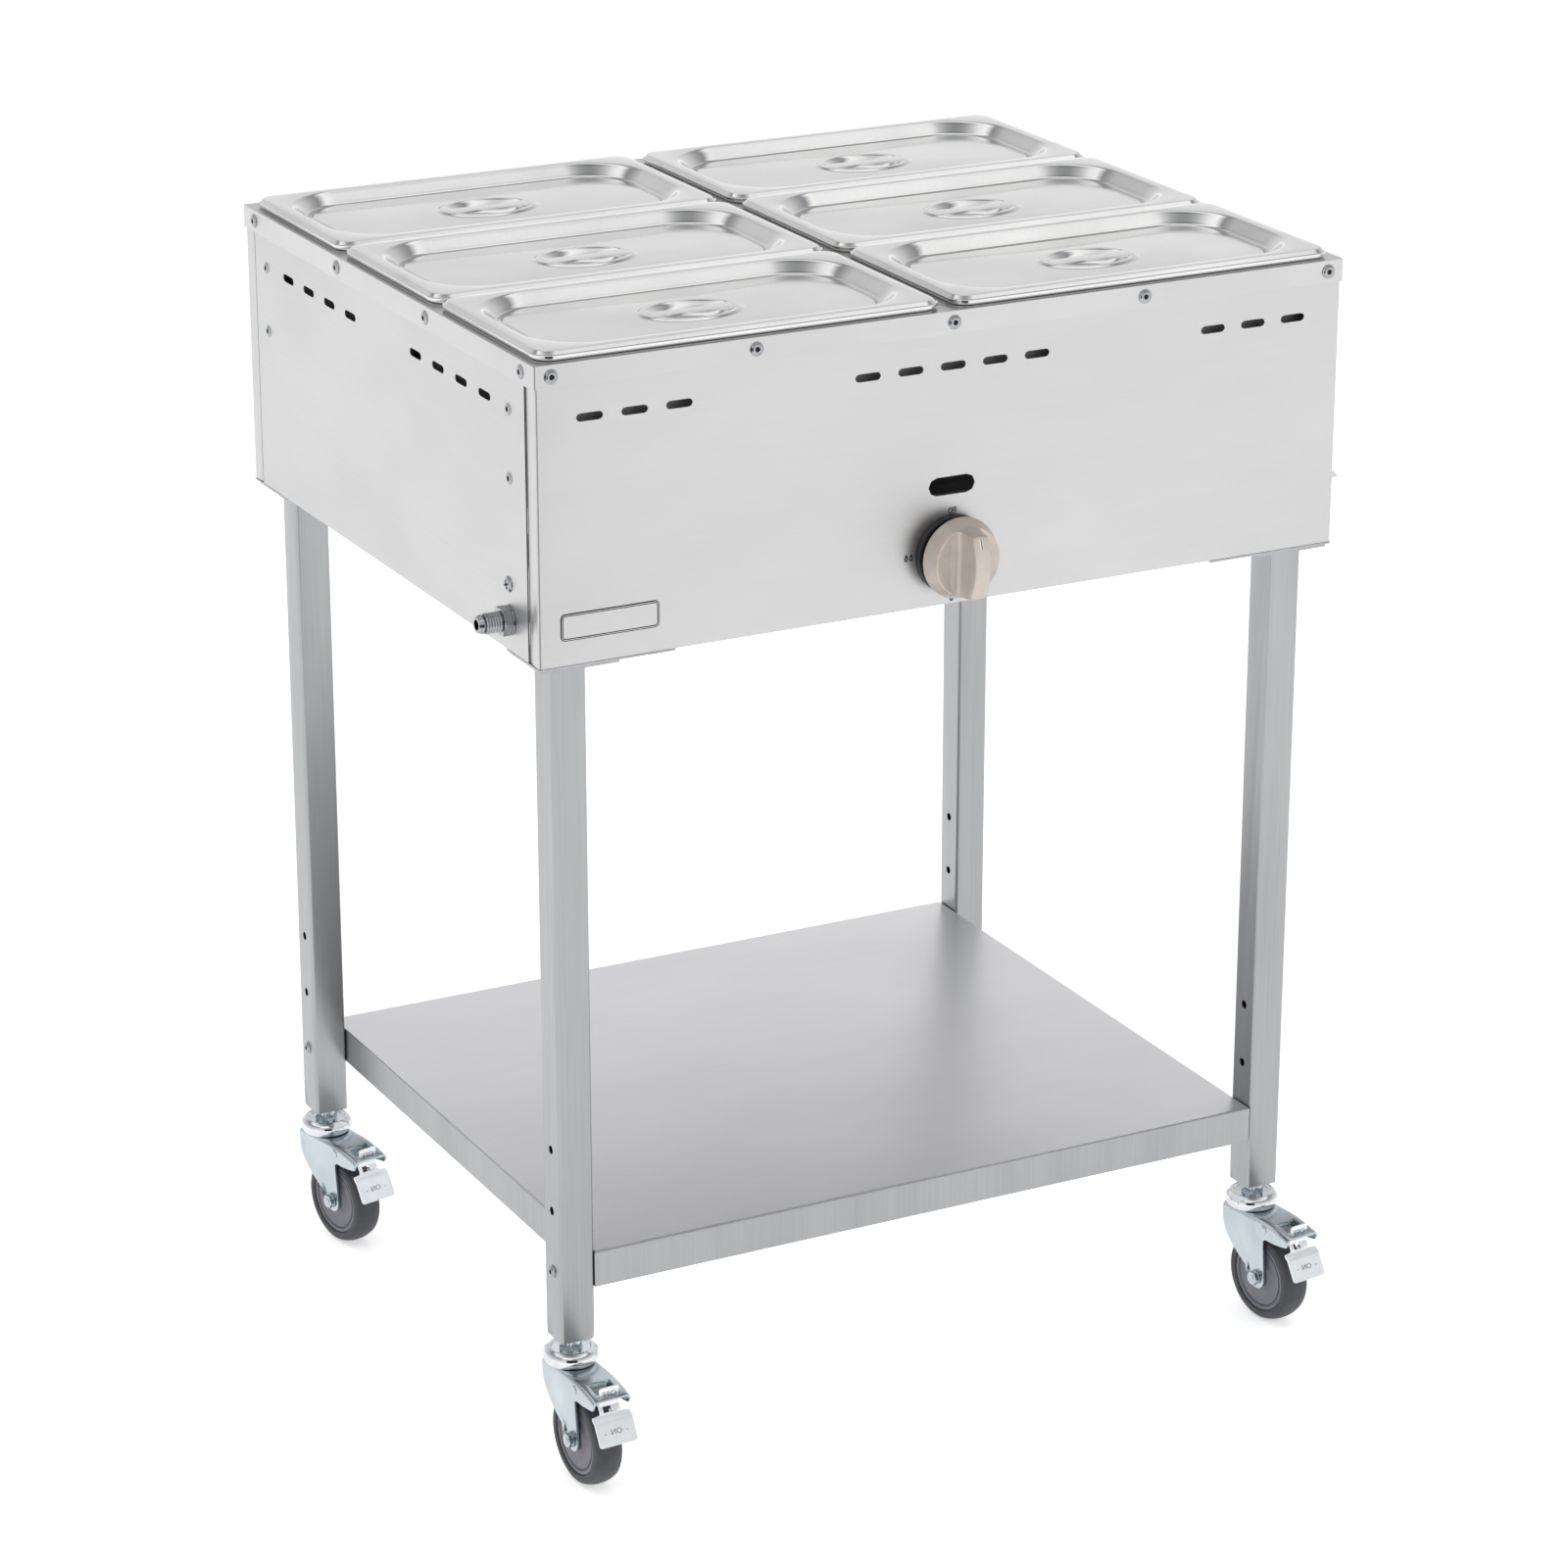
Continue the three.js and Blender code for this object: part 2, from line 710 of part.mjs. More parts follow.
function gasInlet() {
  const face = clearance;
  const nutEnd = face + inletNutLength;
  const nut = bar(inletNut, face, nutEnd, 6);
  const nipple = turned([
    [0, -inletTail],
    [inletHole, -inletTail],
    [inletHole, face],
    [inletThread, nutEnd],
    [inletThread, inletReach - inletCone],
    [inletTip, inletReach],
    [0, inletReach],
  ], 16);
  const bore = bar(inletBore, inletReach - inletTail, inletReach + overrun, 12);
  const y = -bodyDepth / 2 + inletFromFront;
  return nut.add(nipple).subtract(bore)
    .rotate([0, -90, 0])
    .translate([-panelHalfX, y, bodyBottom + inletRise]);
}

addPiece('gas_inlet', gasInlet(), zincPlate);

// Gas pipe: from the inlet's tail along the front to the side of the valve

const pipeStraight = 20;

function gasPipe() {
  const inletY = -bodyDepth / 2 + inletFromFront;
  const valveY = valveFront + valveDepth / 2;
  const inletX = -panelHalfX + inletTail + clearance;
  const valveX = -valveWidth / 2 - clearance;
  return tube([
    [inletX, inletY, bodyBottom + inletRise],
    [inletX + pipeStraight, inletY, bodyBottom + inletRise],
    [inletX / 2, (inletY + valveY) / 2, bodyBottom + (inletRise + valveRise) / 2],
    [valveX - pipeStraight, valveY, bodyBottom + valveRise],
    [valveX, valveY, bodyBottom + valveRise],
  ], pipeRadius, 0, 12, 8);
}

addPiece('gas_pipe', gasPipe(), brass);

// Control knob, its stem and the bezel on the panel

const bezelRadius = 30;
const bezelHeight = 9;
const bezelHole = 16;
const skirtBack = 13;
const skirtRadius = 31;
const skirtEdge = 1;
const scoopLevel = 25.5;
const knobBoreDepth = 22;
const gripHalfWidth = 6.5;
const gripHalfHeight = 24;
const gripEnd = 43;
const gripCrown = 48;
const gripSteps = 8;

function facingFront(solid) {
  return solid.rotate([90, 0, 0]).translate([0, -panelHalfY, bodyBottom + knobRise]);
}

function knobBezel() {
  const disc = bar(bezelRadius, clearance, bezelHeight, 32);
  return facingFront(disc.subtract(bar(bezelHole, -overrun, bezelHeight + overrun, 24)));
}

function valveStem() {
  const back = -sheet - clearance - stemInValve;
  return facingFront(bar(stemRadius, back, skirtBack + knobBoreDepth - overrun, 16));
}

// The grip seen from the side: as wide as the skirt at its foot, with an arched front.
function gripShape() {
  const arch = Array.from({ length: gripSteps + 1 }, (unused, step) => {
    const share = 1 - 2 * step / gripSteps;
    const bulge = (gripCrown - gripEnd) * (1 - share * share);
    return [gripHalfHeight * share, gripEnd + bulge];
  });
  return outline([[-skirtRadius, skirtBack], [skirtRadius, skirtBack], ...arch]);
}

// A cone that narrows towards its front, scooped away on both sides of an upright grip.
function knob() {
  const cone = turned([
    [0, skirtBack],
    [skirtRadius, skirtBack],
    [skirtRadius, skirtBack + skirtEdge],
    [gripHalfHeight, gripEnd],
    [gripHalfHeight, gripCrown],
    [0, gripCrown],
  ], 32);
  const foot = bar(skirtRadius + overrun, skirtBack, scoopLevel, 32);
  const grip = plate(gripShape(), -gripHalfWidth, gripHalfWidth).rotate([90, 0, 90]);
  const bore = bar(stemRadius + clearance, skirtBack - overrun, skirtBack + knobBoreDepth, 16);
  return facingFront(cone.intersect(foot.add(grip)).subtract(bore));
}

addPiece('knob_bezel', knobBezel(), blackPlastic);
addPiece('valve_stem', valveStem(), brass);
addPiece('knob', knob(), tanPlastic);

// Legs, their corner plates and the shelf

const legSize = 28;
const legInset = 17.5;
const legWall = 1.2;
const cornerPlateThickness = 1.5;
const cornerPlateReachX = 108;
const cornerPlateReachY = 56;
const cornerPlateTail = 26;
const legPlateLength = 62;
const legPlateWidth = 54;
const legPlateThickness = 2.5;
const legPlateInset = 4;
const legFootThickness = 1.5;
const legHoleRadius = 3.5;
const legHoleRises = [105.5, 155.5];
const shelfBoltRise = 55.7;
const shelfBoltRadius = 5;
const shelfBoltCrown = 3.3;
const shelfBoltHeight = 2.4;
const stemBolt = 5;

const shelfTopRise = 71.3;
const shelfHeight = 29;
const shelfFold = 10;

const legX = bodyWidth / 2 - legInset - legSize / 2;
const legY = bodyDepth / 2 - legInset - legSize / 2;
const cornerPlateBottom = bodyBottom - clearance - cornerPlateThickness;
const legPlateTop = cornerPlateBottom - clearance;
const legPlateBottom = legPlateTop - legPlateThickness;

function cornerPlate() {
  const shape = outline([
    [panelHalfX - cornerPlateReachX, panelHalfY],
    [panelHalfX - cornerPlateReachX, panelHalfY - cornerPlateTail],
    [panelHalfX - legPlateLength, panelHalfY - cornerPlateReachY],
    [panelHalfX, panelHalfY - cornerPlateReachY],
    [panelHalfX, panelHalfY],
  ]);
  return plate(shape, cornerPlateBottom, cornerPlateBottom + cornerPlateThickness);
}

// A leg at the right back corner: tube, top plate, foot plate, holes and the shelf bolt.
function leg() {
  const half = legSize / 2;
  const inner = half - legWall;
  const walls = block([-half, -half, casterHeight], [half, half, legPlateBottom]);
  const hollow = block(
    [-inner, -inner, casterHeight + legFootThickness],
    [inner, inner, legPlateBottom + overrun],
  );
  const plateEdge = bodyWidth / 2 - legPlateInset - legX;
  const topPlate = block(
    [plateEdge - legPlateLength, plateEdge - legPlateWidth, legPlateBottom],
    [plateEdge, plateEdge, legPlateTop],
  );
  const stemHoleRadius = stemBolt * casterShare + pipeClearance;
  const stemHole = bar(stemHoleRadius, casterHeight - overrun, casterHeight + overrun * 2, 10);
  const holes = legHoleRises.map(
    (rise) => alongX(legHoleRadius, -half - overrun, half + overrun, 0, casterHeight + rise),
  );
  const shank = alongX(legHoleRadius, -half, half, 0, casterHeight + shelfBoltRise);
  const head = rivetHead(shelfBoltRadius, shelfBoltCrown, shelfBoltHeight)
    .rotate([0, 90, 0])
    .translate([half, 0, casterHeight + shelfBoltRise]);
  const drilled = walls.subtract(hollow).subtract(joined([stemHole, ...holes]));
  return joined([drilled, topPlate, shank, head]).translate([legX, legY, 0]);
}

function shelf() {
  const halfX = legX - legSize / 2 - clearance;
  const halfY = legY + legSize / 2;
  const top = casterHeight + shelfTopRise;
  const whole = block([-halfX, -halfY, top - shelfHeight], [halfX, halfY, top]);
  const hollow = block(
    [-halfX + sheet, -halfY + sheet, top - shelfHeight + sheet],
    [halfX - sheet, halfY - sheet, top - sheet],
  );
  const mouth = block(
    [-halfX + shelfFold, -halfY + shelfFold, top - shelfHeight - overrun],
    [halfX - shelfFold, halfY - shelfFold, top - sheet],
  );
  return whole.subtract(hollow.add(mouth));
}

function addLegsAndPlates() {
  const legSolid = leg();
  const plateSolid = cornerPlate();
  for (const [row, signY] of Object.entries({ front: -1, back: 1 })) {
    for (const [column, signX] of Object.entries(columns)) {
      const mirrorX = (solid) => (signX < 0 ? solid.mirror([1, 0, 0]) : solid);
      const mirrorY = (solid) => (signY < 0 ? solid.mirror([0, 1, 0]) : solid);
      addPiece(`leg_${row}_${column}`, mirrorY(mirrorX(legSolid)), grainedSteel);
      addPiece(`corner_plate_${row}_${column}`, mirrorY(mirrorX(plateSolid)), brushedSteel);
    }
  }
}

addLegsAndPlates();
addPiece('shelf', shelf(), grainedSteel);

// Casters: a fixed head on a threaded stem, a swivelling fork, a wheel and a brake pedal.
// Each is drawn about its swivel axis with its wheel trailing towards -Y, then turned a little.

const wheelRadius = 37.5;
const wheelHalfWidth = 11.7;
const trail = 24;
const restSwivels = { front_left: 3.5, front_right: 7.5, back_left: 12, back_right: 5 };
const forkHalfWidth = 17;
const forkWall = 1.8;
const forkTaperShare = 0.062;
const forkFrontDrop = 5.5;
const forkBack = 16;
const slopeStart = 22;
const slopeTurn = 48;
const forkFront = 63.5;
const forkNoseDrop = 7.5;
const axleEndRadius = 9.5;
const axleEndStart = 0.9 * Math.PI;
const axleRadius = 4;
const axleHeadRadius = 6;
const axleHeadLength = 4.5;
const swivelHole = 6.3;
const windowBack = 41;
const windowFront = 60.5;
const windowHalfWidth = 9.4;
const pinForward = 34.5;
const pinHeight = 84.5;
const pinRadius = 1.8;
const pinHeadRadius = 3.6;
const pinHeadHeight = 1.3;

const headRadius = 22.2;
const headBulgeShare = 0.94;
const headFlat = 15;
const nutRadius = 9.6;
const stemRise = 18;
const retainerRadius = 9;
const retainerHeight = 2.5;

// The fork's side in X forward and Y up, from the front of its level top round.
function forkSideShape() {
  const noseTop = forkTop - forkFrontDrop;
  const frontLine = trail + axleEndRadius;
  const armTop = forkTop - 2 * forkNoseDrop;
  const shape = new THREE.Shape();
  shape.moveTo(slopeStart, forkTop);
  shape.lineTo(-forkBack, forkTop);
  shape.lineTo(-forkBack, armTop);
  shape.quadraticCurveTo(
    -forkBack, armTop - 2 * forkNoseDrop,
    trail - axleEndRadius, wheelRadius + axleEndRadius / 2,
  );
  shape.absarc(trail, wheelRadius, axleEndRadius, axleEndStart, Math.PI * 2);
  shape.lineTo(frontLine, armTop - forkNoseDrop);
  shape.quadraticCurveTo(frontLine, armTop, frontLine + axleEndRadius, armTop);
  shape.lineTo(forkFront - overrun, noseTop - forkNoseDrop);
  shape.lineTo(forkFront, noseTop);
  shape.quadraticCurveTo(slopeTurn, forkTop, slopeStart, forkTop);
  return shape;
}

// The top plate's section, level at the back and curved down to the nose.
function forkTopShape() {
  const under = forkTop - forkWall;
  const shape = new THREE.Shape();
  shape.moveTo(slopeStart, forkTop);
  shape.lineTo(-forkBack, forkTop);
  shape.lineTo(-forkBack, under);
  shape.lineTo(slopeStart, under);
  shape.quadraticCurveTo(slopeTurn, under, forkFront, under - forkFrontDrop);
  shape.lineTo(forkFront, forkTop - forkFrontDrop);
  shape.quadraticCurveTo(slopeTurn, forkTop, slopeStart, forkTop);
  return shape;
}

// How far out the fork's side stands at a height: the two sides close in towards the axle.
function forkSideAt(height) {
  return forkHalfWidth - (forkTop - height) * forkTaperShare;
}

// One side plate, sheared so that it leans in towards the axle.
function forkSide() {
  const settings = { depth: forkWall, bevelEnabled: false, curveSegments: 3 };
  const lean = new THREE.Matrix4().makeShear(0, 0, 0, forkTaperShare, 0, 0);
  const flat = new THREE.ExtrudeGeometry(forkSideShape(), settings);
  flat.translate(0, -forkTop, 0).applyMatrix4(lean);
  return solidOf(flat.translate(0, forkTop, forkHalfWidth - forkWall));
}

// Turns a piece extruded about its own Z so that X points forward, Y up and Z across the wheel.
function acrossWheel(solid) {
  return solid.rotate([90, 0, -90]);
}

function fork() {
  const top = plate(forkTopShape(), -forkHalfWidth + forkWall / 2, forkHalfWidth - forkWall / 2, 3);
  const side = forkSide();
  const windowCut = block(
    [windowBack, forkTop - 2 * forkNoseDrop, -windowHalfWidth],
    [windowFront, forkTop + overrun, windowHalfWidth],
  );
  const axleHole = bar(axleRadius + clearance, -forkHalfWidth, forkHalfWidth, 10)
    .translate([trail, wheelRadius, 0]);
  const pinSide = forkSideAt(pinHeight) - forkWall / 2;
  const pinEnd = forkHalfWidth + pinHeadHeight;
  const pin = joined([
    bar(pinRadius, -pinSide, pinSide, 8),
    bar(pinHeadRadius, pinSide, pinEnd, 8),
    bar(pinHeadRadius, -pinEnd, -pinSide, 8),
  ]).translate([pinForward, pinHeight, 0]);
  const swivel = bar(swivelHole, forkTop - forkWall * 2, forkTop + overrun, 12);
  const bent = joined([top, side, side.mirror([0, 0, 1])]).subtract(windowCut).subtract(axleHole);
  return acrossWheel(bent.add(pin)).subtract(swivel);
}

function casterHead() {
  const bottom = forkTop + clearance;
  const top = bottom + headHeight;
  const under = forkTop - forkWall - clearance;
  const ringTurn = turned([
    [0, under - retainerHeight],
    [retainerRadius, under - retainerHeight],
    [retainerRadius, under],
    [swivelHole - clearance, under],
    [swivelHole - clearance, bottom],
    [headRadius * headBulgeShare, bottom],
    [headRadius, bottom + headHeight / 2],
    [headFlat + overrun, top],
    [headFlat, top],
    [headFlat - overrun, top - overrun],
    [0, top - overrun],
  ], 14);
  const nut = bar(nutRadius, top - overrun * 2, drawnCasterHeight - clearance, 6);
  const stem = bar(stemBolt, top - overrun * 2, drawnCasterHeight + stemRise, 10);
  return joined([ringTurn, nut, stem]);
}

function axleBolt() {
  const face = forkSideAt(wheelRadius + axleHeadRadius) + clearance;
  const bolt = joined([
    bar(axleRadius, -face, face, 10),
    bar(axleHeadRadius, face - sheet / 4, face + axleHeadLength, 6),
    bar(axleHeadRadius, -face - axleHeadLength, -face + sheet / 4, 6),
  ]);
  return acrossWheel(bolt.translate([trail, wheelRadius, 0]));
}

const hubRadius = 28.5;
const hubBossRadius = 10;
const hubBossHalfWidth = 10.9;
const hubRimHalfWidth = 10.3;
const tyreShoulder = 32.5;
const tyreCrown = 2.2;

// A wheel part about its own Z, moved onto the axle.
function onAxle(solid) {
  return acrossWheel(solid.translate([trail, wheelRadius, 0]));
}

// A profile for one half of a part that is the same on both sides, closed on itself.
function mirroredRing(half) {
  const back = [...half].reverse().map(([radius, height]) => [radius, -height]);
  return turned([...back, ...half, back[0]], 18);
}

function wheelHub() {
  const bore = axleRadius + clearance;
  return onAxle(mirroredRing([
    [hubRadius, hubRimHalfWidth],
    [hubBossRadius, hubRimHalfWidth],
    [hubBossRadius, hubBossHalfWidth],
    [bore, hubBossHalfWidth],
  ]));
}

function tyre() {
  return onAxle(mirroredRing([
    [wheelRadius, wheelHalfWidth / 3],
    [wheelRadius - tyreCrown, wheelHalfWidth - tyreCrown],
    [tyreShoulder, wheelHalfWidth],
    [hubRadius + clearance, wheelHalfWidth],
  ]));
}

const pedalHalfWidth = 16;
const neckHalfWidth = 9;
const tabHalfWidth = 8.6;
const pedalThickness = 2.2;
const lugRadius = 3.4;
const pedalDrop = 17.5;
const pedalLean = 10;
const pedalTop = [64.5, 69];
const tabFoot = [57, 78];
const tabHead = [58, 94];
const tabThickness = 1.6;
const shoeFront = 49;
const shoeBack = 42;
const shoeBottom = 73.6;
const neckTop = 83;

// The brake pedal: a lug on the pin, a neck with the shoe under it, the pedal plate in front
// and the release tab that stands up through the fork's window.
function brakePedal() {
  const half = lugRadius / 2;
  const neck = outline([
    [pinForward, pinHeight - lugRadius],
    [shoeBack, pinHeight - lugRadius],
    [shoeBack, shoeBottom],
    [shoeFront, shoeBottom],
    [shoeFront, neckTop - pedalThickness],
    [tabFoot[0], tabFoot[1] - pedalThickness / 2],
    [pedalTop[0] - pedalThickness, pedalTop[1] + half],
    [pedalTop[0] - pedalThickness, pedalTop[1] - half],
    [pedalTop[0], pedalTop[1] - half],
    [pedalTop[0] + pedalThickness / 2, pedalTop[1] + half],
    [tabFoot[0] + pedalThickness, tabFoot[1] + pedalThickness / 2],
    [shoeFront, neckTop],
    [pinForward, neckTop],
  ]);
  const lug = bar(lugRadius, -neckHalfWidth, neckHalfWidth, 12).translate([pinForward, pinHeight, 0]);
  const pad = outline([
    pedalTop,
    [pedalTop[0] - pedalThickness, pedalTop[1]],
    [pedalTop[0] - pedalThickness + pedalLean, pedalTop[1] - pedalDrop],
    [pedalTop[0] + pedalLean, pedalTop[1] - pedalDrop],
  ]);
  const tab = outline([
    tabFoot,
    [tabFoot[0] + tabThickness, tabFoot[1]],
    [tabHead[0] + tabThickness, tabHead[1]],
    tabHead,
  ]);
  const hole = bar(pinRadius + clearance, -neckHalfWidth - overrun, neckHalfWidth + overrun, 12)
    .translate([pinForward, pinHeight, 0]);
  const made = joined([
    plate(neck, -neckHalfWidth, neckHalfWidth),
    lug,
    plate(pad, -pedalHalfWidth, pedalHalfWidth),
    plate(tab, -tabHalfWidth, tabHalfWidth),
  ]);
  return acrossWheel(made.subtract(hole));
}

function addCasters() {
  const pieces = [
    ['caster_head', geometryOf(casterHead()), zincPlate],
    ['caster_fork', geometryOf(fork()), zincPlate],
    ['axle_bolt', geometryOf(axleBolt()), zincPlate],
    ['wheel_hub', geometryOf(wheelHub()), greyPlastic],
    ['tyre', geometryOf(tyre()), greyRubber],
    ['brake_pedal', geometryOf(brakePedal()), zincPlate],
  ];
  for (const [row, signY] of Object.entries({ front: -1, back: 1 })) {
    for (const [column, signX] of Object.entries(columns)) {
      const caster = new THREE.Group();
      caster.position.set(signX * legX, signY * legY, 0);
      caster.rotation.z = THREE.MathUtils.degToRad(restSwivels[`${row}_${column}`]);
      caster.scale.setScalar(casterShare);
      for (const [name, geometry, look] of pieces) {
        addMesh(caster, `${name}_${row}_${column}`, geometry, look);
      }
      table.add(caster);
    }
  }
}

addCasters();

// The table's box is centred on the origin in X and Y and stands on Z = 0.

table.updateMatrixWorld(true);
const reach = new THREE.Box3().setFromObject(table, true);
const middle = reach.getCenter(new THREE.Vector3());
table.position.set(-middle.x, -middle.y, -reach.min.z);

export default table;
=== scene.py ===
# Steam table on casters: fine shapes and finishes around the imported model.
# Lengths are millimetres up to the stage, and a mesh is turned to metres when it is written.

import json
import math
from contextlib import contextmanager

import bmesh
import bpy
import numpy as np
from mathutils import Matrix, Vector


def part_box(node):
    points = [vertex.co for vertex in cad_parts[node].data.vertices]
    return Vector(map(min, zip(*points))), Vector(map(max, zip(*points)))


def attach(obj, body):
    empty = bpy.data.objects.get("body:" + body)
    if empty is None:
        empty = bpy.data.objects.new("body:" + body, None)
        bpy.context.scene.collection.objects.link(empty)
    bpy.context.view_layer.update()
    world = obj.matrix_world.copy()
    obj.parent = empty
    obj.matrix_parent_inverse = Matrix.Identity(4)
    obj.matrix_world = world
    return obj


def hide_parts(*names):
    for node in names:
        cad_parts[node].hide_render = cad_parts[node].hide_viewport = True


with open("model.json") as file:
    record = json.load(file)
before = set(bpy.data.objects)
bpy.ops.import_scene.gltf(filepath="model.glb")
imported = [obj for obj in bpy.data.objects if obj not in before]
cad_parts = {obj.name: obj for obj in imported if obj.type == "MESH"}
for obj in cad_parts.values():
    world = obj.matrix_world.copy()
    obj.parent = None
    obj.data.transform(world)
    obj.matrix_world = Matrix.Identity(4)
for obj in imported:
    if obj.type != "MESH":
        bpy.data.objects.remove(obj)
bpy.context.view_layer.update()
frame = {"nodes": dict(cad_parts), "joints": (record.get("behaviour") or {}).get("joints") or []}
mm = 0.001
print("frame loaded:", len(frame["nodes"]), "nodes")

# Places in the frame


def nodeBox(node):
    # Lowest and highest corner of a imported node, in millimetres.
    low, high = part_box(node)
    return np.array(low) / mm, np.array(high) / mm


def nodeCentre(node):
    low, high = nodeBox(node)
    return (low + high) / 2


def jointOf(name):
    return next(joint for joint in frame["joints"] if joint["name"] == name)


def jointPlace(name):
    return np.array(jointOf(name)["pos_m"]) / mm


frameLow, frameHigh = nodeBox("top_frame")
panelBottom = nodeBox("front_panel")[0][2]
shelfTop = nodeBox("shelf")[1][2]
middle = nodeCentre("shelf")
rows = ("front", "middle", "back")
columns = ("left", "right")
corners = [f"{row}_{column}" for row in ("front", "back") for column in columns]
body = {"halfX": 336, "halfY": 272, "panelInset": 1.3, "bend": 1.5}
sideX = body["halfX"] - body["panelInset"]

# Shapes as arrays


def parabola(a, b, c, t):
    # The arc (1-t)^2 A + 2t(1-t) B + t^2 C from A to C, drawn towards B.
    return (1 - t) ** 2 * a + 2 * t * (1 - t) * b + t**2 * c


def softened(keys, cut, steps=5, closed=False):
    # Each corner of a line of keys becomes a parabola, whose ends lie on the line a short cut before
    # and after the corner.
    keys = np.asarray(keys, float)
    before, after = np.roll(keys, 1, 0) - keys, np.roll(keys, -1, 0) - keys
    runBefore = np.linalg.norm(before, axis=1, keepdims=True)
    runAfter = np.linalg.norm(after, axis=1, keepdims=True)
    cuts = np.broadcast_to(cut, len(keys))[:, None]
    cuts = np.minimum(cuts, 0.48 * np.minimum(runBefore, runAfter))
    first, last = keys + before / runBefore * cuts, keys + after / runAfter * cuts
    t = np.linspace(0, 1, steps)[None, :, None]
    arcs = parabola(first[:, None], keys[:, None], last[:, None], t)
    if closed:
        return arcs.reshape(-1, keys.shape[1])
    return np.concatenate([keys[:1], arcs[1:-1].reshape(-1, keys.shape[1]), keys[-1:]])


def turnAngles(steps):
    return np.linspace(0, 2 * math.pi, steps, endpoint=False)[None, :]


def roundGrid(radius, angle, height):
    # Points about Z: (r cos a, r sin a, h).
    return np.stack([radius * np.cos(angle), radius * np.sin(angle), height + 0 * angle], -1)


def turnedGrid(profile, steps):
    # A profile of radius and height turned about Z.
    return roundGrid(profile[:, 0, None], turnAngles(steps), profile[:, 1, None])


def lathedPart(profile, cuts, steps, around, **closing):
    # A turned part with softened corners.
    return gridPart(turnedGrid(softened(profile, cuts, steps), around), **closing)


def hexGrid(radius, low, high, chamfer, steps=48):
    # A hexagon bar with turned-off corners: at each angle the smaller of the hexagon's own radius and
    # a cone that closes in by the chamfer at both ends.
    angle = turnAngles(steps)
    across = radius * math.cos(math.pi / 6)
    hexagon = across / np.cos((angle % (math.pi / 3)) - math.pi / 6)
    cone = np.array([radius - chamfer, radius, radius, radius - chamfer])[:, None]
    heights = np.array([low, low + chamfer / 2, high - chamfer / 2, high])[:, None]
    return roundGrid(np.minimum(hexagon, cone), angle, heights)


def ringGrid(keys, arcSteps=16):
    # Rings that go from rounded rectangles to ovals: four quarter ellipses with radii rx and ry, their
    # centres at (+-(hx - rx), +-(hy - ry)). A key holds hx, hy, rx, ry and z.
    hx, hy, rx, ry, z = (np.asarray(keys, float)[:, part, None] for part in range(5))
    quarter = np.repeat(np.arange(4), arcSteps)
    angle = (quarter + np.tile(np.linspace(0, 1, arcSteps), 4)) * math.pi / 2
    signX = np.where((quarter == 0) | (quarter == 3), 1, -1)
    signY = np.where(quarter < 2, 1, -1)
    x = signX * (hx - rx) + rx * np.cos(angle)
    y = signY * (hy - ry) + ry * np.sin(angle)
    return np.stack([x, y, z + 0 * x], -1)


def stripGrid(path, across=5):
    # A flat strip carried along a path: each key holds forward, up and half width, and the points run
    # straight across from one edge to the other.
    path = np.asarray(path, float)
    share = np.linspace(-1, 1, across)[None, :]
    side = path[:, 2, None] * share
    return np.stack([path[:, 0, None] + 0 * side, path[:, 1, None] + 0 * side, side], -1)


def placedGrid(grid, origin, axes=((1, 0, 0), (0, 1, 0), (0, 0, 1))):
    # The grid's own x, y and z directions become the given axes, from the origin given.
    return grid @ np.asarray(axes, float) + np.asarray(origin, float)


def placedPart(part, origin, *axes):
    # The same for a part, whose faces stay as they are.
    return placedGrid(part[0], origin, *axes), part[1]


frontAxes = ((1, 0, 0), (0, 0, 1), (0, -1, 0))
backAxes = ((-1, 0, 0), (0, 0, 1), (0, 1, 0))
leftAxes = ((0, -1, 0), (0, 0, 1), (-1, 0, 0))
rightAxes = ((0, 1, 0), (0, 0, 1), (1, 0, 0))


def gridPart(grid, ring=True, loop=False, caps=2, keep=None):
    # Points and faces of a grid. A ring closes each row on itself, a loop joins the last row to the
    # first, and caps fill the first row, or the first and the last one.
    count, width = grid.shape[:2]
    row = np.arange(count if loop else count - 1)[:, None]
    column = np.arange(width if ring else width - 1)[None, :]
    nextRow, nextColumn = (row + 1) % count, (column + 1) % width
    quads = [row * width + column, row * width + nextColumn]
    quads += [nextRow * width + nextColumn, nextRow * width + column]
    quads = np.stack(quads, -1)
    faces = (quads if keep is None else quads[keep]).reshape(-1, 4).tolist()
    if ring and not loop:
        ends = [list(range(width))[::-1], list(range((count - 1) * width, count * width))]
        faces += ends[:caps]
    return grid.reshape(-1, 3), faces


def joinedParts(parts):
    # Several parts as one: each part's faces count on from the points before it.
    points, faces, start = [], [], 0
    for partPoints, partFaces in parts:
        points.append(partPoints)
        faces += [[start + corner for corner in face] for face in partFaces]
        start += len(partPoints)
    return np.concatenate(points), faces


@contextmanager
def editing(mesh):
    # The mesh opened for the bmesh operators, and written back at the end.
    work = bmesh.new()
    work.from_mesh(mesh)
    yield work
    work.to_mesh(mesh)
    work.free()


def addObject(name, data):
    made = bpy.data.objects.new(name, data)
    bpy.context.scene.collection.objects.link(made)
    return made


def finishedPiece(name, mesh, rides, finish, standsFor, sharpAngle=32):
    # A mesh as a piece of a body, smooth but for the edges sharper than the angle.
    mesh.materials.append(materials[finish])
    mesh.shade_smooth()
    mesh.set_sharp_from_angle(angle=math.radians(sharpAngle))
    piece = addObject(name, mesh)
    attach(piece, rides)
    if standsFor:
        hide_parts(*standsFor)
    return piece


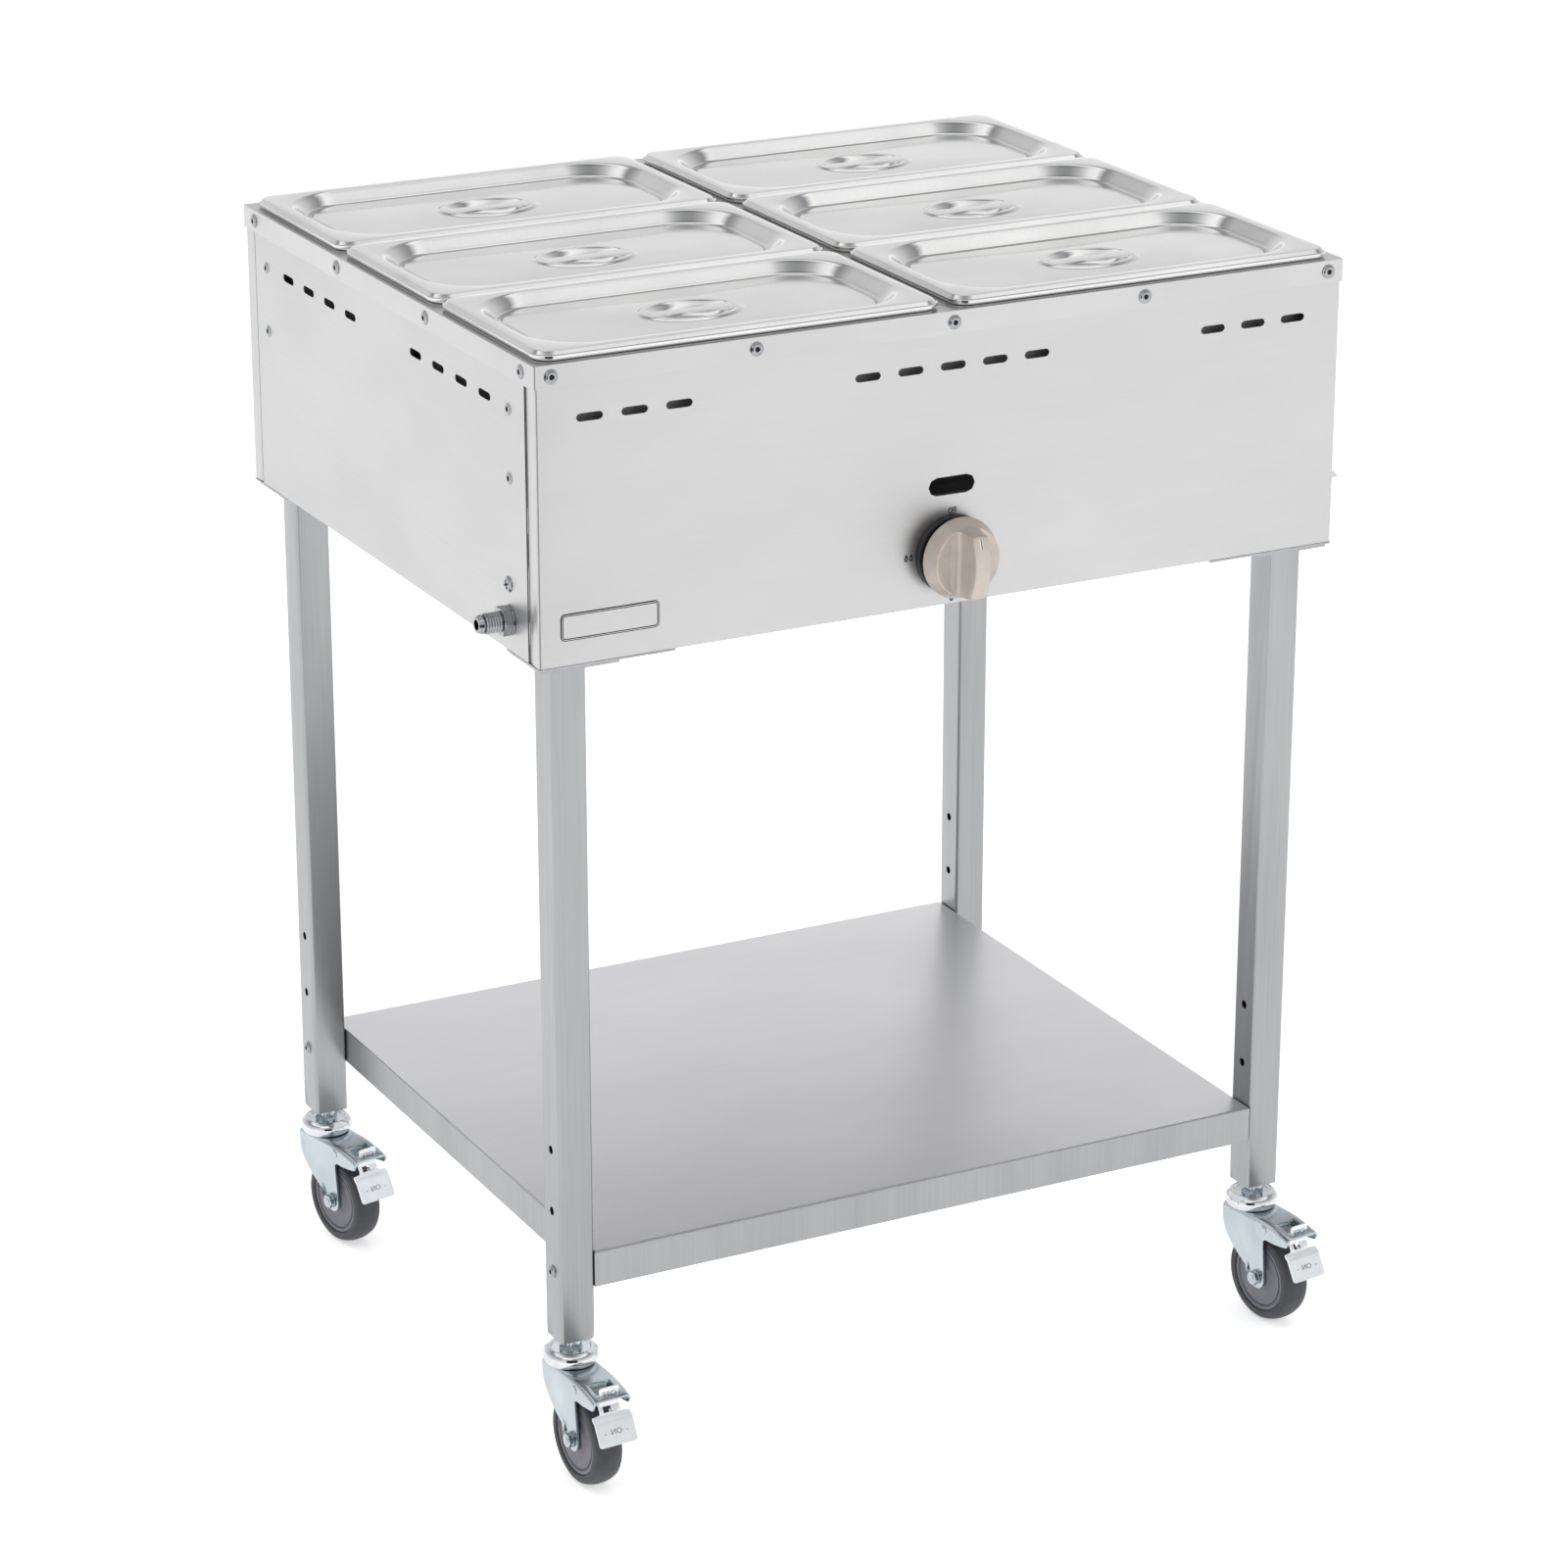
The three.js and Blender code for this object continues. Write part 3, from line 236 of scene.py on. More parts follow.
def addPiece(name, part, rides, finish, slot, standsFor=(), sharpAngle=32):
    # A new piece from points and faces: doubles merged and faces turned outwards.
    mesh = bpy.data.meshes.new(name)
    mesh.from_pydata((part[0] * mm).tolist(), [], part[1])
    with editing(mesh) as work:
        bmesh.ops.remove_doubles(work, verts=work.verts, dist=0.002 * mm)
        bmesh.ops.dissolve_degenerate(work, edges=work.edges, dist=0.001 * mm)
        bmesh.ops.recalc_face_normals(work, faces=work.faces)
    return finishedPiece(name, mesh, rides, finish, standsFor, sharpAngle)


def thicken(piece, thickness, offset=-1):
    wall = piece.modifiers.new("wall", "SOLIDIFY")
    wall.thickness = thickness * mm
    wall.offset = offset
    wall.use_even_offset = False


def soften(piece, width, segments=2, angle=40):
    edge = piece.modifiers.new("edge", "BEVEL")
    edge.width = width * mm
    edge.segments = segments
    edge.limit_method = "ANGLE"
    edge.angle_limit = math.radians(angle)


def softenedNode(node, name, finish, edge, bend, bends, limits=None):
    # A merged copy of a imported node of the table: rivet heads beyond the limits pressed flat, flat
    # faces joined, the long bends that the test picks made round, and every other edge softened.
    mesh = frame["nodes"][node].data.copy()
    mesh.name = name
    if limits is not None:
        points = np.empty(3 * len(mesh.vertices), dtype=np.float32)
        mesh.vertices.foreach_get("co", points)
        points = limits(points.reshape(-1, 3) / mm)
        mesh.vertices.foreach_set("co", (points * mm).astype(np.float32).ravel())
    flat = math.radians(0.5)
    arc = {"offset": bend * mm, "segments": 5, "profile": 0.5, "affect": "EDGES", "clamp_overlap": False}
    with editing(mesh) as work:
        bmesh.ops.remove_doubles(work, verts=work.verts, dist=0.01 * mm)
        bmesh.ops.dissolve_degenerate(work, edges=work.edges, dist=0.005 * mm)
        bmesh.ops.dissolve_limit(work, angle_limit=flat, verts=work.verts, edges=work.edges)
        picked = [each for each in work.edges if bends(*(np.array(end.co) / mm for end in each.verts))]
        bmesh.ops.bevel(work, geom=picked, **arc)
    mesh.materials.clear()
    piece = finishedPiece(name, mesh, "table", finish, [node])
    soften(piece, edge)
    return piece


# Materials


def linear(hexText):
    # An sRGB hex value as a linear colour.
    srgb = np.array([int(hexText[place : place + 2], 16) for place in (0, 2, 4)]) / 255
    bright = ((srgb + 0.055) / 1.055) ** 2.4
    return (*np.where(srgb <= 0.04045, srgb / 12.92, bright), 1.0)


def addNode(material, kind, settings, links=None):
    node = material.node_tree.nodes.new(kind)
    for key, value in settings.items():
        if key in node.inputs:
            node.inputs[key].default_value = value
        else:
            setattr(node, key, value)
    for key, source in (links or {}).items():
        material.node_tree.links.new(source, node.inputs[key])
    return node


def shaderOf(material, metallic, roughness, **more):
    shader = material.node_tree.nodes["Principled BSDF"]
    shader.inputs["Metallic"].default_value = metallic
    shader.inputs["Roughness"].default_value = roughness
    for key, value in more.items():
        shader.inputs[key.replace("_", " ")].default_value = value
    return shader


def surfaceMaterial(
    name, metallic, roughness, spread, dark, light, grain, cloud, bumpStrength, relief, cloudShare,
):
    # One build for every finish: a stretched noise for the grain, a wide one for cloudiness, a colour
    # between two close tones, a roughness that the spread moves up and down, and a slight bump.
    material = bpy.data.materials.new(name)
    material.use_nodes = True
    shader = shaderOf(material, metallic, roughness)
    place = addNode(material, "ShaderNodeTexCoord", {}).outputs["Object"]
    noise = []
    for sizes, detail, coarseness in ((grain, 3.0, 0.55), (cloud, 2.0, 0.5)):
        # One unit of the pattern has the given size on each axis.
        scale = [1 / (size * mm) for size in np.broadcast_to(sizes, 3)]
        mapped = addNode(material, "ShaderNodeMapping", {"Scale": scale}, {"Vector": place})
        settings = {"Scale": 1.0, "Detail": detail, "Roughness": coarseness}
        links = {"Vector": mapped.outputs["Vector"]}
        noise.append(addNode(material, "ShaderNodeTexNoise", settings, links).outputs["Fac"])
    settings = {"data_type": "FLOAT", "Factor": cloudShare}
    mixed = addNode(material, "ShaderNodeMix", settings, {"A": noise[0], "B": noise[1]})
    drive, span = {"Value": mixed.outputs["Result"]}, {"From Min": 0.3, "From Max": 0.7}
    tone = addNode(material, "ShaderNodeMapRange", span, drive)
    colour = addNode(material, "ShaderNodeMix", {"data_type": "RGBA"}, {"Factor": tone.outputs["Result"]})
    for socket, shade in ((6, dark), (7, light)):
        colour.inputs[socket].default_value = linear(shade)
    span = {**span, "To Min": roughness + spread, "To Max": roughness - spread}
    rough = addNode(material, "ShaderNodeMapRange", span, drive)
    settings = {"Strength": bumpStrength, "Distance": relief * mm}
    bump = addNode(material, "ShaderNodeBump", settings, {"Height": noise[0]})
    link = material.node_tree.links.new
    link(colour.outputs[2], shader.inputs["Base Color"])
    link(rough.outputs["Result"], shader.inputs["Roughness"])
    link(bump.outputs["Normal"], shader.inputs["Normal"])
    return material


# Each row holds the values that surfaceMaterial takes, in its order. Grain, cloud and relief are in
# millimetres, and three sizes lie along X, Y and Z.
looks = {
    # ferritic stainless sheet, belt ground: fine level lines, soft wide reflections
    "satin_stainless_sheet": (
        1.0, 0.38, 0.02, "c4c4c4", "cacaca", (60, 60, 0.9), (160, 160, 90), 0.015, 0.03, 0.6,
    ),
    # the same sheet painted a little darker for the two sides: painted shade
    "satin_stainless_shaded_side": (
        1.0, 0.38, 0.02, "c2c2c2", "c8c8c8", (60, 60, 0.9), (160, 160, 90), 0.015, 0.03, 0.6,
    ),
    # the same sheet on the cap frame, a little brighter from the press
    "pressed_stainless_frame": (
        1.0, 0.3, 0.02, "c2c2c2", "c9c9c9", (50, 50, 0.9), (120, 120, 60), 0.015, 0.03, 0.6,
    ),
    # austenitic stainless, bright annealed and deep drawn: near mirror with faint press haze
    "bright_annealed_stainless": (
        1.0, 0.11, 0.02, "dadad9", "e5e5e4", 2.5, (70, 50, 30), 0.03, 0.03, 0.75,
    ),
    # square stainless tube, ground along its length: plain upright lines
    "ground_stainless_tube": (
        1.0, 0.34, 0.03, "a1a2a3", "aeafb0", (0.9, 0.9, 110), (30, 30, 220), 0.03, 0.05, 0.5,
    ),
    # stainless shelf sheet, ground from side to side, painted much lighter than the body's sheet: painted
    # light against the shade under the body
    "painted_light_stainless_shelf": (
        1.0, 0.36, 0.03, "e8e8ea", "efeff1", (90, 1.0, 1.0), (200, 120, 60), 0.06, 0.05, 0.5,
    ),
    # zinc plate with blue passivation: cool, slightly streaky
    "blue_zinc_plate": (
        1.0, 0.22, 0.03, "b3bec4", "c8d1d6", (1.0, 1.0, 1.6), (26, 26, 40), 0.02, 0.03, 0.7,
    ),
    # the brake pedals' brighter zinc, smooth from tumbling
    "bright_zinc_plate": (0.8, 0.36, 0.04, "e8edf0", "f8fafb", 1.2, 12, 0.04, 0.04, 0.5),
    # chromium plate on the bearing ring: hard mirror
    "chromium_plate": (1.0, 0.09, 0.02, "cdd0d4", "e6e8ea", 1.0, 9, 0.02, 0.03, 0.5),
    # turned and milled steel of rivets, bolts and the inlet: bright but darker than the sheet
    "turned_steel": (1.0, 0.18, 0.03, "96979a", "b0b1b4", 0.6, 9, 0.03, 0.03, 0.5),
    # the tank and the rack inside: dulled by heat and scale, so they scatter light
    "heat_dulled_steel": (0.55, 0.46, 0.05, "a3a2a0", "bdbcb9", 1.2, (45, 45, 30), 0.05, 0.04, 0.5),
    # nearly black: painted shade of seams, gaps, recesses and holes; on rivet pins partly their own oxide
    "pin_steel_and_painted_shade": (0.6, 0.5, 0.06, "17181a", "2b2d30", 0.5, 6, 0.1, 0.04, 0.5),
    # drawn brass of the valve and the gas pipe: warm and clean
    "drawn_brass": (1.0, 0.3, 0.05, "a5843f", "c4a461", 1.5, 20, 0.05, 0.04, 0.5),
    # sand-cast grey iron: dull, with a grain of about a millimetre
    "sand_cast_iron": (0.7, 0.65, 0.08, "2c2c2e", "4a4a4c", 1.1, 25, 0.5, 0.3, 0.5),
    # ABS with a champagne metallic lacquer: satin, a fine flake
    "champagne_lacquered_abs": (0.35, 0.36, 0.04, "b8ada3", "cdc2b9", 0.5, 9, 0.04, 0.03, 0.3),
    # moulded phenolic, black, half matt
    "black_phenolic": (0.0, 0.42, 0.05, "161618", "232326", 0.8, 10, 0.08, 0.04, 0.5),
    # moulded polypropylene wheel centre
    "grey_polypropylene": (0.0, 0.4, 0.04, "62626a", "707078", 0.7, 12, 0.06, 0.04, 0.5),
    # thermoplastic rubber tread, matt from use
    "grey_thermoplastic_rubber": (0.0, 0.55, 0.06, "333437", "424347", 0.9, 10, 0.12, 0.06, 0.5),
    # screen ink, dead black, a little uneven
    "black_screen_ink": (0.0, 0.6, 0.05, "1a1a1b", "262627", 0.6, 5, 0.05, 0.02, 0.5),
    # pad-printed ink on the pointer: matt, not quite white
    "white_pad_ink": (0.0, 0.5, 0.04, "e4e2de", "f3f2ef", 0.6, 5, 0.05, 0.02, 0.5),
}
materials = {name: surfaceMaterial(name, *row) for name, row in looks.items()}
print("materials made:", len(materials))

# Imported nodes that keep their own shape

keptNodes = {
    "heat_dulled_steel": ["divider_rack", "water_tank"],
    "satin_stainless_sheet": ["drain_spout"],
    # The corner plates take the darker turned steel: partly their own tone, partly painted shade along
    # the body's lower edge.
    "turned_steel": [f"corner_plate_{corner}" for corner in corners],
    "drawn_brass": ["gas_valve", "gas_pipe", "valve_stem"],
    "sand_cast_iron": ["burner"],
}
for materialName, nodes in keptNodes.items():
    for node in nodes:
        slots = frame["nodes"][node].data.materials
        slots.clear()
        slots.append(materials[materialName])

# Sheet metal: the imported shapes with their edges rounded

sheetPieces = {
    "top_frame": ("cap_frame", "pressed_stainless_frame", 0.45),
    "front_panel": ("front_sheet", "satin_stainless_sheet", 0.3),
    "back_panel": ("back_sheet", "satin_stainless_sheet", 0.3),
    "left_panel": ("left_sheet", "satin_stainless_shaded_side", 0.3),
    "right_panel": ("right_sheet", "satin_stainless_shaded_side", 0.3),
}
stand = {"half": 14, "tubeBend": 2.6, "shelfBend": 1.9, "edge": 0.3}


def upright(place):
    # A test for the four outer edges of the square tube that stands at the place given.
    def test(one, two):
        far = np.abs(one[:2] - place[:2]).min() > stand["half"] - 0.2
        near = np.abs(one[:2] - place[:2]).max() < stand["half"] + 0.2
        return far and near and abs(one[2] - two[2]) > 100 and np.allclose(one[:2], two[:2], atol=0.01)

    return test


def shelfRim(one, two):
    # The edges round the shelf's top face.
    return abs(one[2] - shelfTop) < 0.01 and abs(two[2] - shelfTop) < 0.01


def pressedFlat(halfX, halfY):
    # Rivet heads pressed back to the body's own faces, the given half sizes from its middle.
    def limits(points):
        reach = np.array([halfX, halfY])
        points[:, :2] = np.clip(points[:, :2], middle[:2] - reach, middle[:2] + reach)
        return points

    return limits


def boltPressedFlat(place):
    # The shelf bolt's head pressed back to the leg's own face; the leg's top plate stays.
    def limits(points):
        low = points[:, 2] < 300
        reach = stand["half"]
        points[low, :2] = np.clip(points[low, :2], place[:2] - reach, place[:2] + reach)
        return points

    return limits


def bodyCorner(one, two):
    # The upright edges at the body's four corners.
    near = np.abs(one[:2] - middle[:2]) > (body["halfX"] - 1.4, body["halfY"] - 1.4)
    return near.all() and abs(one[2] - two[2]) > 10 and np.allclose(one[:2], two[:2], atol=0.01)


for node, (name, finish, edge) in sheetPieces.items():
    inset = 0 if node == "top_frame" else body["panelInset"]
    limits = pressedFlat(body["halfX"] - inset, body["halfY"] - inset)
    softenedNode(node, name, finish, edge, body["bend"], bodyCorner, limits)
tray = softenedNode(
    "shelf", "shelf_tray", "painted_light_stainless_shelf", stand["edge"], stand["shelfBend"],
    shelfRim,
)
# The turned-down sides keep the tubes' coarser grind and tone, without the top's painted light: the
# second slot.
tray.data.materials.append(materials["ground_stainless_tube"])
upward = np.empty(3 * len(tray.data.polygons), dtype=np.float32)
tray.data.polygons.foreach_get("normal", upward)
sides = (np.abs(upward.reshape(-1, 3)[:, 2]) < 0.8).astype(np.int32)
tray.data.polygons.foreach_set("material_index", sides)
for corner in corners:
    place = nodeCentre(f"caster_head_{corner}")
    softenedNode(
        f"leg_{corner}", f"tube_leg_{corner}", "ground_stainless_tube", stand["edge"],
        stand["tubeBend"], upright(place), boltPressedFlat(place),
    )
print("sheet metal made")

# Pans and lids

lid = {
    "edgeDrop": 4.4, "lip": 1.3, "lipDrop": 2.6, "crown": 3.6, "border": 13, "cornerRadius": 15,
    "recessCorner": 50, "recessWall": 9, "recessDepth": 9, "footWidth": 5, "footRise": 0.7,
    "grip": (41.5, 30), "gripRise": 1.4, "bowl": (33.5, 24), "bowlDepth": 10, "wall": 0.9,
    "strapWidth": 12, "strapShift": -3, "strapThickness": 1.5, "strapFlare": 2.5,
}
pan = {
    "wall": 1, "flange": 15, "flangeInset": 1.8, "flangeHeight": 2, "mouthCorner": 44, "slope": 11,
    "footRise": 5, "footInset": 8, "footCorner": 34,
}


def boxKey(half, inset, corner, z):
    # A rounded rectangle, drawn in from its two half sizes.
    return (half[0] - inset, half[1] - inset, corner, corner, z)


def ovalKey(half, inset, z):
    # An oval, drawn in from its two half sizes.
    x, y = half[0] - inset, half[1] - inset
    return (x, y, x, y, z)


def lidSkin(half, top):
    # The pressed skin from its outer edge inwards: down-turned edge, level border, sloping wall,
    # floor with a shallow step, grip ring and finger bowl.
    corner, wall = lid["cornerRadius"], lid["border"]
    foot = wall + lid["recessWall"]
    step = foot + lid["footWidth"]
    footCorner = lid["recessCorner"] - lid["recessWall"]
    stepCorner = footCorner - lid["footWidth"]
    floor = top - lid["recessDepth"]
    raised = floor + lid["footRise"]
    grip = raised + lid["gripRise"]
    keys = [
        boxKey(half, 0, corner, top - lid["edgeDrop"]),
        boxKey(half, 0, corner, top - lid["lipDrop"]),
        boxKey(half, lid["lip"], corner - lid["lip"], top - lid["lipDrop"] + 0.3),
        boxKey(half, lid["crown"], corner - lid["crown"], top),
        boxKey(half, wall, lid["recessCorner"], top),
        boxKey(half, foot, footCorner, floor),
        boxKey(half, step, stepCorner, floor),
        boxKey(half, step + 1.2, stepCorner - 1.2, raised),
        ovalKey(lid["grip"], 0, raised),
        ovalKey(lid["grip"], 3, grip),
        ovalKey(lid["bowl"], 0, grip),
        ovalKey(lid["bowl"], 5, grip - 0.6 * lid["bowlDepth"]),
        ovalKey(lid["bowl"], 13, grip - lid["bowlDepth"]),
    ]
    cuts = [0, 0.5, 0.5, 1.6, 5, 5, 1, 1, 1.5, 1.5, 2.5, 6, 0]
    return ringGrid(softened(keys, cuts, 6), 20), grip


def lidStrap(grip):
    # A flat bar across the bowl, wider at its ends by the square of the distance from its middle.
    along = np.linspace(-1, 1, 25)
    half = lid["strapWidth"] / 2 + lid["strapFlare"] * along**2
    low, high = grip - lid["strapThickness"] - 0.1, grip + 0.15
    section = softened([[-1, low], [-1, high], [1, high], [1, low]], 0.25, 4, closed=True)
    y = lid["strapShift"] + half[:, None] * section[None, :, 0]
    x = (lid["bowl"][0] + 0.5) * along[:, None] + 0 * y
    return np.stack([x, y, section[None, :, 1] + 0 * y], -1)


def panShell(half, top, bottom):
    # The pan up its outside, over the flange and down its inside.
    mouth = pan["flange"]
    foot = mouth + pan["slope"]
    floor = foot + pan["footInset"]
    floorCorner = pan["footCorner"] - pan["footInset"]
    wall, bend = pan["wall"], bottom + pan["footRise"]
    under = top - pan["flangeHeight"]
    inset, outer = pan["flangeInset"], lid["cornerRadius"] - pan["flangeInset"]
    keys = [
        boxKey(half, floor, floorCorner, bottom),
        boxKey(half, foot - wall, pan["footCorner"], bend),
        boxKey(half, mouth - wall, pan["mouthCorner"], under),
        boxKey(half, inset, outer, under),
        boxKey(half, inset, outer, top),
        boxKey(half, mouth, pan["mouthCorner"], top),
        boxKey(half, foot, pan["footCorner"], bend + wall / 2),
        boxKey(half, floor, floorCorner, bottom + wall),
    ]
    return ringGrid(softened(keys, [0, 6, 1, 0.8, 0.8, 4, 6, 0], 5), 14)


def dropOuterCap(piece):
    # The lid's skin is open round its outer edge: the largest flat face there is taken off again.
    with editing(piece.data) as work:
        cap = max(work.faces, key=lambda face: len(face.verts) * face.calc_area())
        bmesh.ops.delete(work, geom=[cap], context="FACES_ONLY")


def addPanAndLid(place):
    steel = ("bright_annealed_stainless", "pan_steel")
    lidNode, panNode = f"lid_{place}", f"pan_{place}"
    low, high = nodeBox(lidNode)
    centre, half = (low + high) / 2, (high - low) / 2
    origin = (centre[0], centre[1], 0)
    skin, grip = lidSkin(half, high[2])
    skin, strap = (placedPart(gridPart(grid), origin) for grid in (skin, lidStrap(grip)))
    piece = addPiece(f"pressed_lid_{place}", skin, lidNode, *steel, [lidNode], sharpAngle=60)
    dropOuterCap(piece)
    thicken(piece, lid["wall"])
    addPiece(f"lid_strap_{place}", strap, lidNode, *steel)
    low, high = nodeBox(panNode)
    shell = placedPart(gridPart(panShell(half, high[2], low[2])), origin)
    addPiece(f"drawn_pan_{place}", shell, panNode, *steel, [panNode])


for row in rows:
    for column in columns:
        addPanAndLid(f"{row}_{column}")
print("pans and lids made")

# Rivets and screws

rivet = {
    "capRadius": 5.5, "capHeight": 1.6, "panelRadius": 4.6, "panelHeight": 1.2, "pinRadius": 1.9,
    "capDrop": 8.6, "capFromCorner": 13.4, "capFromSideCorner": 22, "panelDrops": (42, 93),
    "panelFromFront": 47, "panelFromBack": 42,
}
screw = {"radius": 6, "height": 2.35, "rise": 50, "crossLong": 3.3, "crossWide": 0.75, "crossTurn": 20}
legBolt = {"radius": 5, "height": 2.4, "rise": 55.7, "socket": 1.9}


def headPart(radius, height, hole):
    # A blind rivet's head: thin rim, domed collar and the hole that the pulled pin leaves.
    profile = [
        (radius, -0.3), (radius, 0.3 * height), (0.8 * radius, 0.5 * height),
        (0.66 * radius, 0.9 * height), (hole + 0.5, height), (hole, 0.9 * height), (hole, 0.1),
    ]
    return lathedPart(profile, [0, 0.2, 0.4, 0.5, 0.3, 0.1, 0], 4, 32)


def socketPart(hole, height):
    # What fills the hole, such as the broken end of the pulled pin, a little below the head's top.
    profile = [(hole - 0.02, 0.05), (hole - 0.02, 0.3 * height), (0.02, 0.42 * height)]
    return lathedPart(profile, [0, 0.2, 0], 3, 20)


def rowOf(length, fromCorner, gaps):
    return np.linspace(-length / 2 + fromCorner, length / 2 - fromCorner, gaps + 1)


def addRivets(name, places, radius, height):
    hole = rivet["pinRadius"]
    for kind, part, finish in (
        ("rivets", headPart(radius, height, hole), "turned_steel"),
        # The pins in near black: partly their own oxide, partly painted shade of the holes.
        ("rivet_pins", socketPart(hole, height), "pin_steel_and_painted_shade"),
    ):
        parts = [placedPart(part, *place) for place in places]
        addPiece(f"{name}_{kind}", joinedParts(parts), "table", finish, "body_steel")


def addFasteners():
    x, y, capTop = middle[0], middle[1], frameHigh[2]
    halfX, halfY = body["halfX"], body["halfY"]
    level = capTop - rivet["capDrop"]
    places = []
    for along in rowOf(2 * halfX, rivet["capFromCorner"], 4):
        places += [((x + along, y - halfY, level), frontAxes), ((x + along, y + halfY, level), backAxes)]
    for along in rowOf(2 * halfY, rivet["capFromSideCorner"], 3):
        places += [((x - halfX, y + along, level), leftAxes), ((x + halfX, y + along, level), rightAxes)]
    addRivets("cap", places, rivet["capRadius"], rivet["capHeight"])
    places = []
    for along in (-halfY + rivet["panelFromFront"], halfY - rivet["panelFromBack"]):
        for drop in rivet["panelDrops"]:
            places.append(((x - sideX, y + along, capTop - drop), leftAxes))
            places.append(((x + sideX, y + along, capTop - drop), rightAxes))
    addRivets("panel", places, rivet["panelRadius"], rivet["panelHeight"])


def crossParts(base, top):
    # Two slim bars that lie in a screw's recess, as a cross, to carry its painted shade.
    key = (screw["crossLong"], screw["crossWide"], 0.4, 0.4)
    bar = gridPart(ringGrid([(*key, base), (*key, top)], 4))
    parts = []
    turn = math.radians(screw["crossTurn"])
    for angle in (turn, turn + math.pi / 2):
        cosine, sine = math.cos(angle), math.sin(angle)
        parts.append(placedPart(bar, (0, 0, 0), ((cosine, sine, 0), (-sine, cosine, 0), (0, 0, 1))))
    return joinedParts(parts)


def addCrossScrew():
    # A domed screw head with a cross recess, above the gas inlet.
    place = (middle[0] - sideX, nodeCentre("gas_inlet")[1], panelBottom + screw["rise"])
    radius, height = screw["radius"], screw["height"]
    profile = [
        (radius, -0.3), (radius, 0.25 * height), (0.75 * radius, 0.8 * height), (0.25 * radius, height),
        (0.05, height),
    ]
    dome = placedPart(lathedPart(profile, [0, 0.3, 1, 0.8, 0], 5, 40), place, leftAxes)
    addPiece("inlet_screw", dome, "table", "turned_steel", "zinc")
    cross = placedPart(crossParts(1, height + 0.04), place, leftAxes)
    # The cross in near black: painted shade of the recess.
    addPiece("inlet_screw_recess_shade", cross, "table", "pin_steel_and_painted_shade", "body_steel")


def addLegBolts():
    # Shelf bolts: a low dome with a socket on the outer face of each leg.
    height, socket = legBolt["height"], legBolt["socket"]
    head, floor = headPart(legBolt["radius"], height, socket), socketPart(socket, height)
    for corner in corners:
        foot = nodeBox(f"leg_{corner}")[0][2]
        place = nodeCentre(f"caster_head_{corner}")
        outside, axes = (-1, leftAxes) if corner.endswith("left") else (1, rightAxes)
        spot = (place[0] + outside * stand["half"], place[1], foot + legBolt["rise"]), axes
        addPiece(f"shelf_bolt_{corner}", placedPart(head, *spot), "table", "turned_steel", "zinc")
        # The socket's floor in near black: painted shade of the socket.
        name = f"shelf_bolt_socket_{corner}"
        addPiece(name, placedPart(floor, *spot), "table", "pin_steel_and_painted_shade", "body_steel")


def addPanelSeams():
    # A dark strip of painted shade in the joint between each side panel and the flange that the front or
    # back panel turns in.
    low, high = nodeBox("left_panel")
    top = frameLow[2]
    line = gridPart(ringGrid([(0.3, (top - low[2]) / 2, 0.2, 0.2, z) for z in (-0.3, 0.05)], 4))
    parts = []
    for outward, axes in ((-1, leftAxes), (1, rightAxes)):
        for y in (low[1], high[1]):
            parts.append(placedPart(line, (middle[0] + outward * sideX, y, (top + low[2]) / 2), axes))
    addPiece("panel_seam_shade", joinedParts(parts), "table", "pin_steel_and_painted_shade", "body_steel")


addFasteners()
addPanelSeams()
addCrossScrew()
addLegBolts()
print("fasteners made")

# Gas inlet: flare nipple with a turned thread, hexagon nut and washer

inlet = {
    "nutRadius": 11.4, "nutLength": 8, "threadRadius": 7.9, "threadPitch": 2.1, "threadDepth": 0.7,
    "reach": 26, "tipRadius": 5.7, "boreRadius": 4, "tail": 12,
}


def addGasInlet():
    centre = nodeCentre("gas_inlet")
    origin = (middle[0] - sideX, centre[1], centre[2])
    radius, reach, bore = inlet["threadRadius"], inlet["reach"], inlet["boreRadius"]
    start, stop = inlet["nutLength"] + 1, reach - 5
    # The thread is a row of rings: its radius falls and rises as a cosine of the way along.
    along = np.linspace(start, stop, 73)
    ridge = inlet["threadDepth"] * (1 - np.cos(2 * math.pi * (along - start) / inlet["threadPitch"])) / 2
    thread = np.stack([radius - ridge, along], -1)
    head = [(5.7, -inlet["tail"]), (5.7, 0.5), (radius - 0.6, start - 0.8)]
    nose = [
        (radius - 1.9, stop + 0.3), (radius - 1.9, stop + 1.2), (radius - 0.7, stop + 1.6),
        (inlet["tipRadius"], reach), (bore, reach), (bore, reach - 12),
    ]
    nipple = turnedGrid(np.concatenate([head, thread, nose]), 48)
    nut = hexGrid(inlet["nutRadius"], 1.5, inlet["nutLength"], 1)
    washer = lathedPart([(11.2, 0.3), (11.2, 1.5), (7, 1.5)], [0, 0.3, 0], 3, 48)
    fitting = placedPart(joinedParts([gridPart(nipple), gridPart(nut), washer]), origin, leftAxes)
    addPiece("inlet_fitting", fitting, "table", "turned_steel", "zinc", ["gas_inlet"])


addGasInlet()

# Knob, bezel and the marks round it

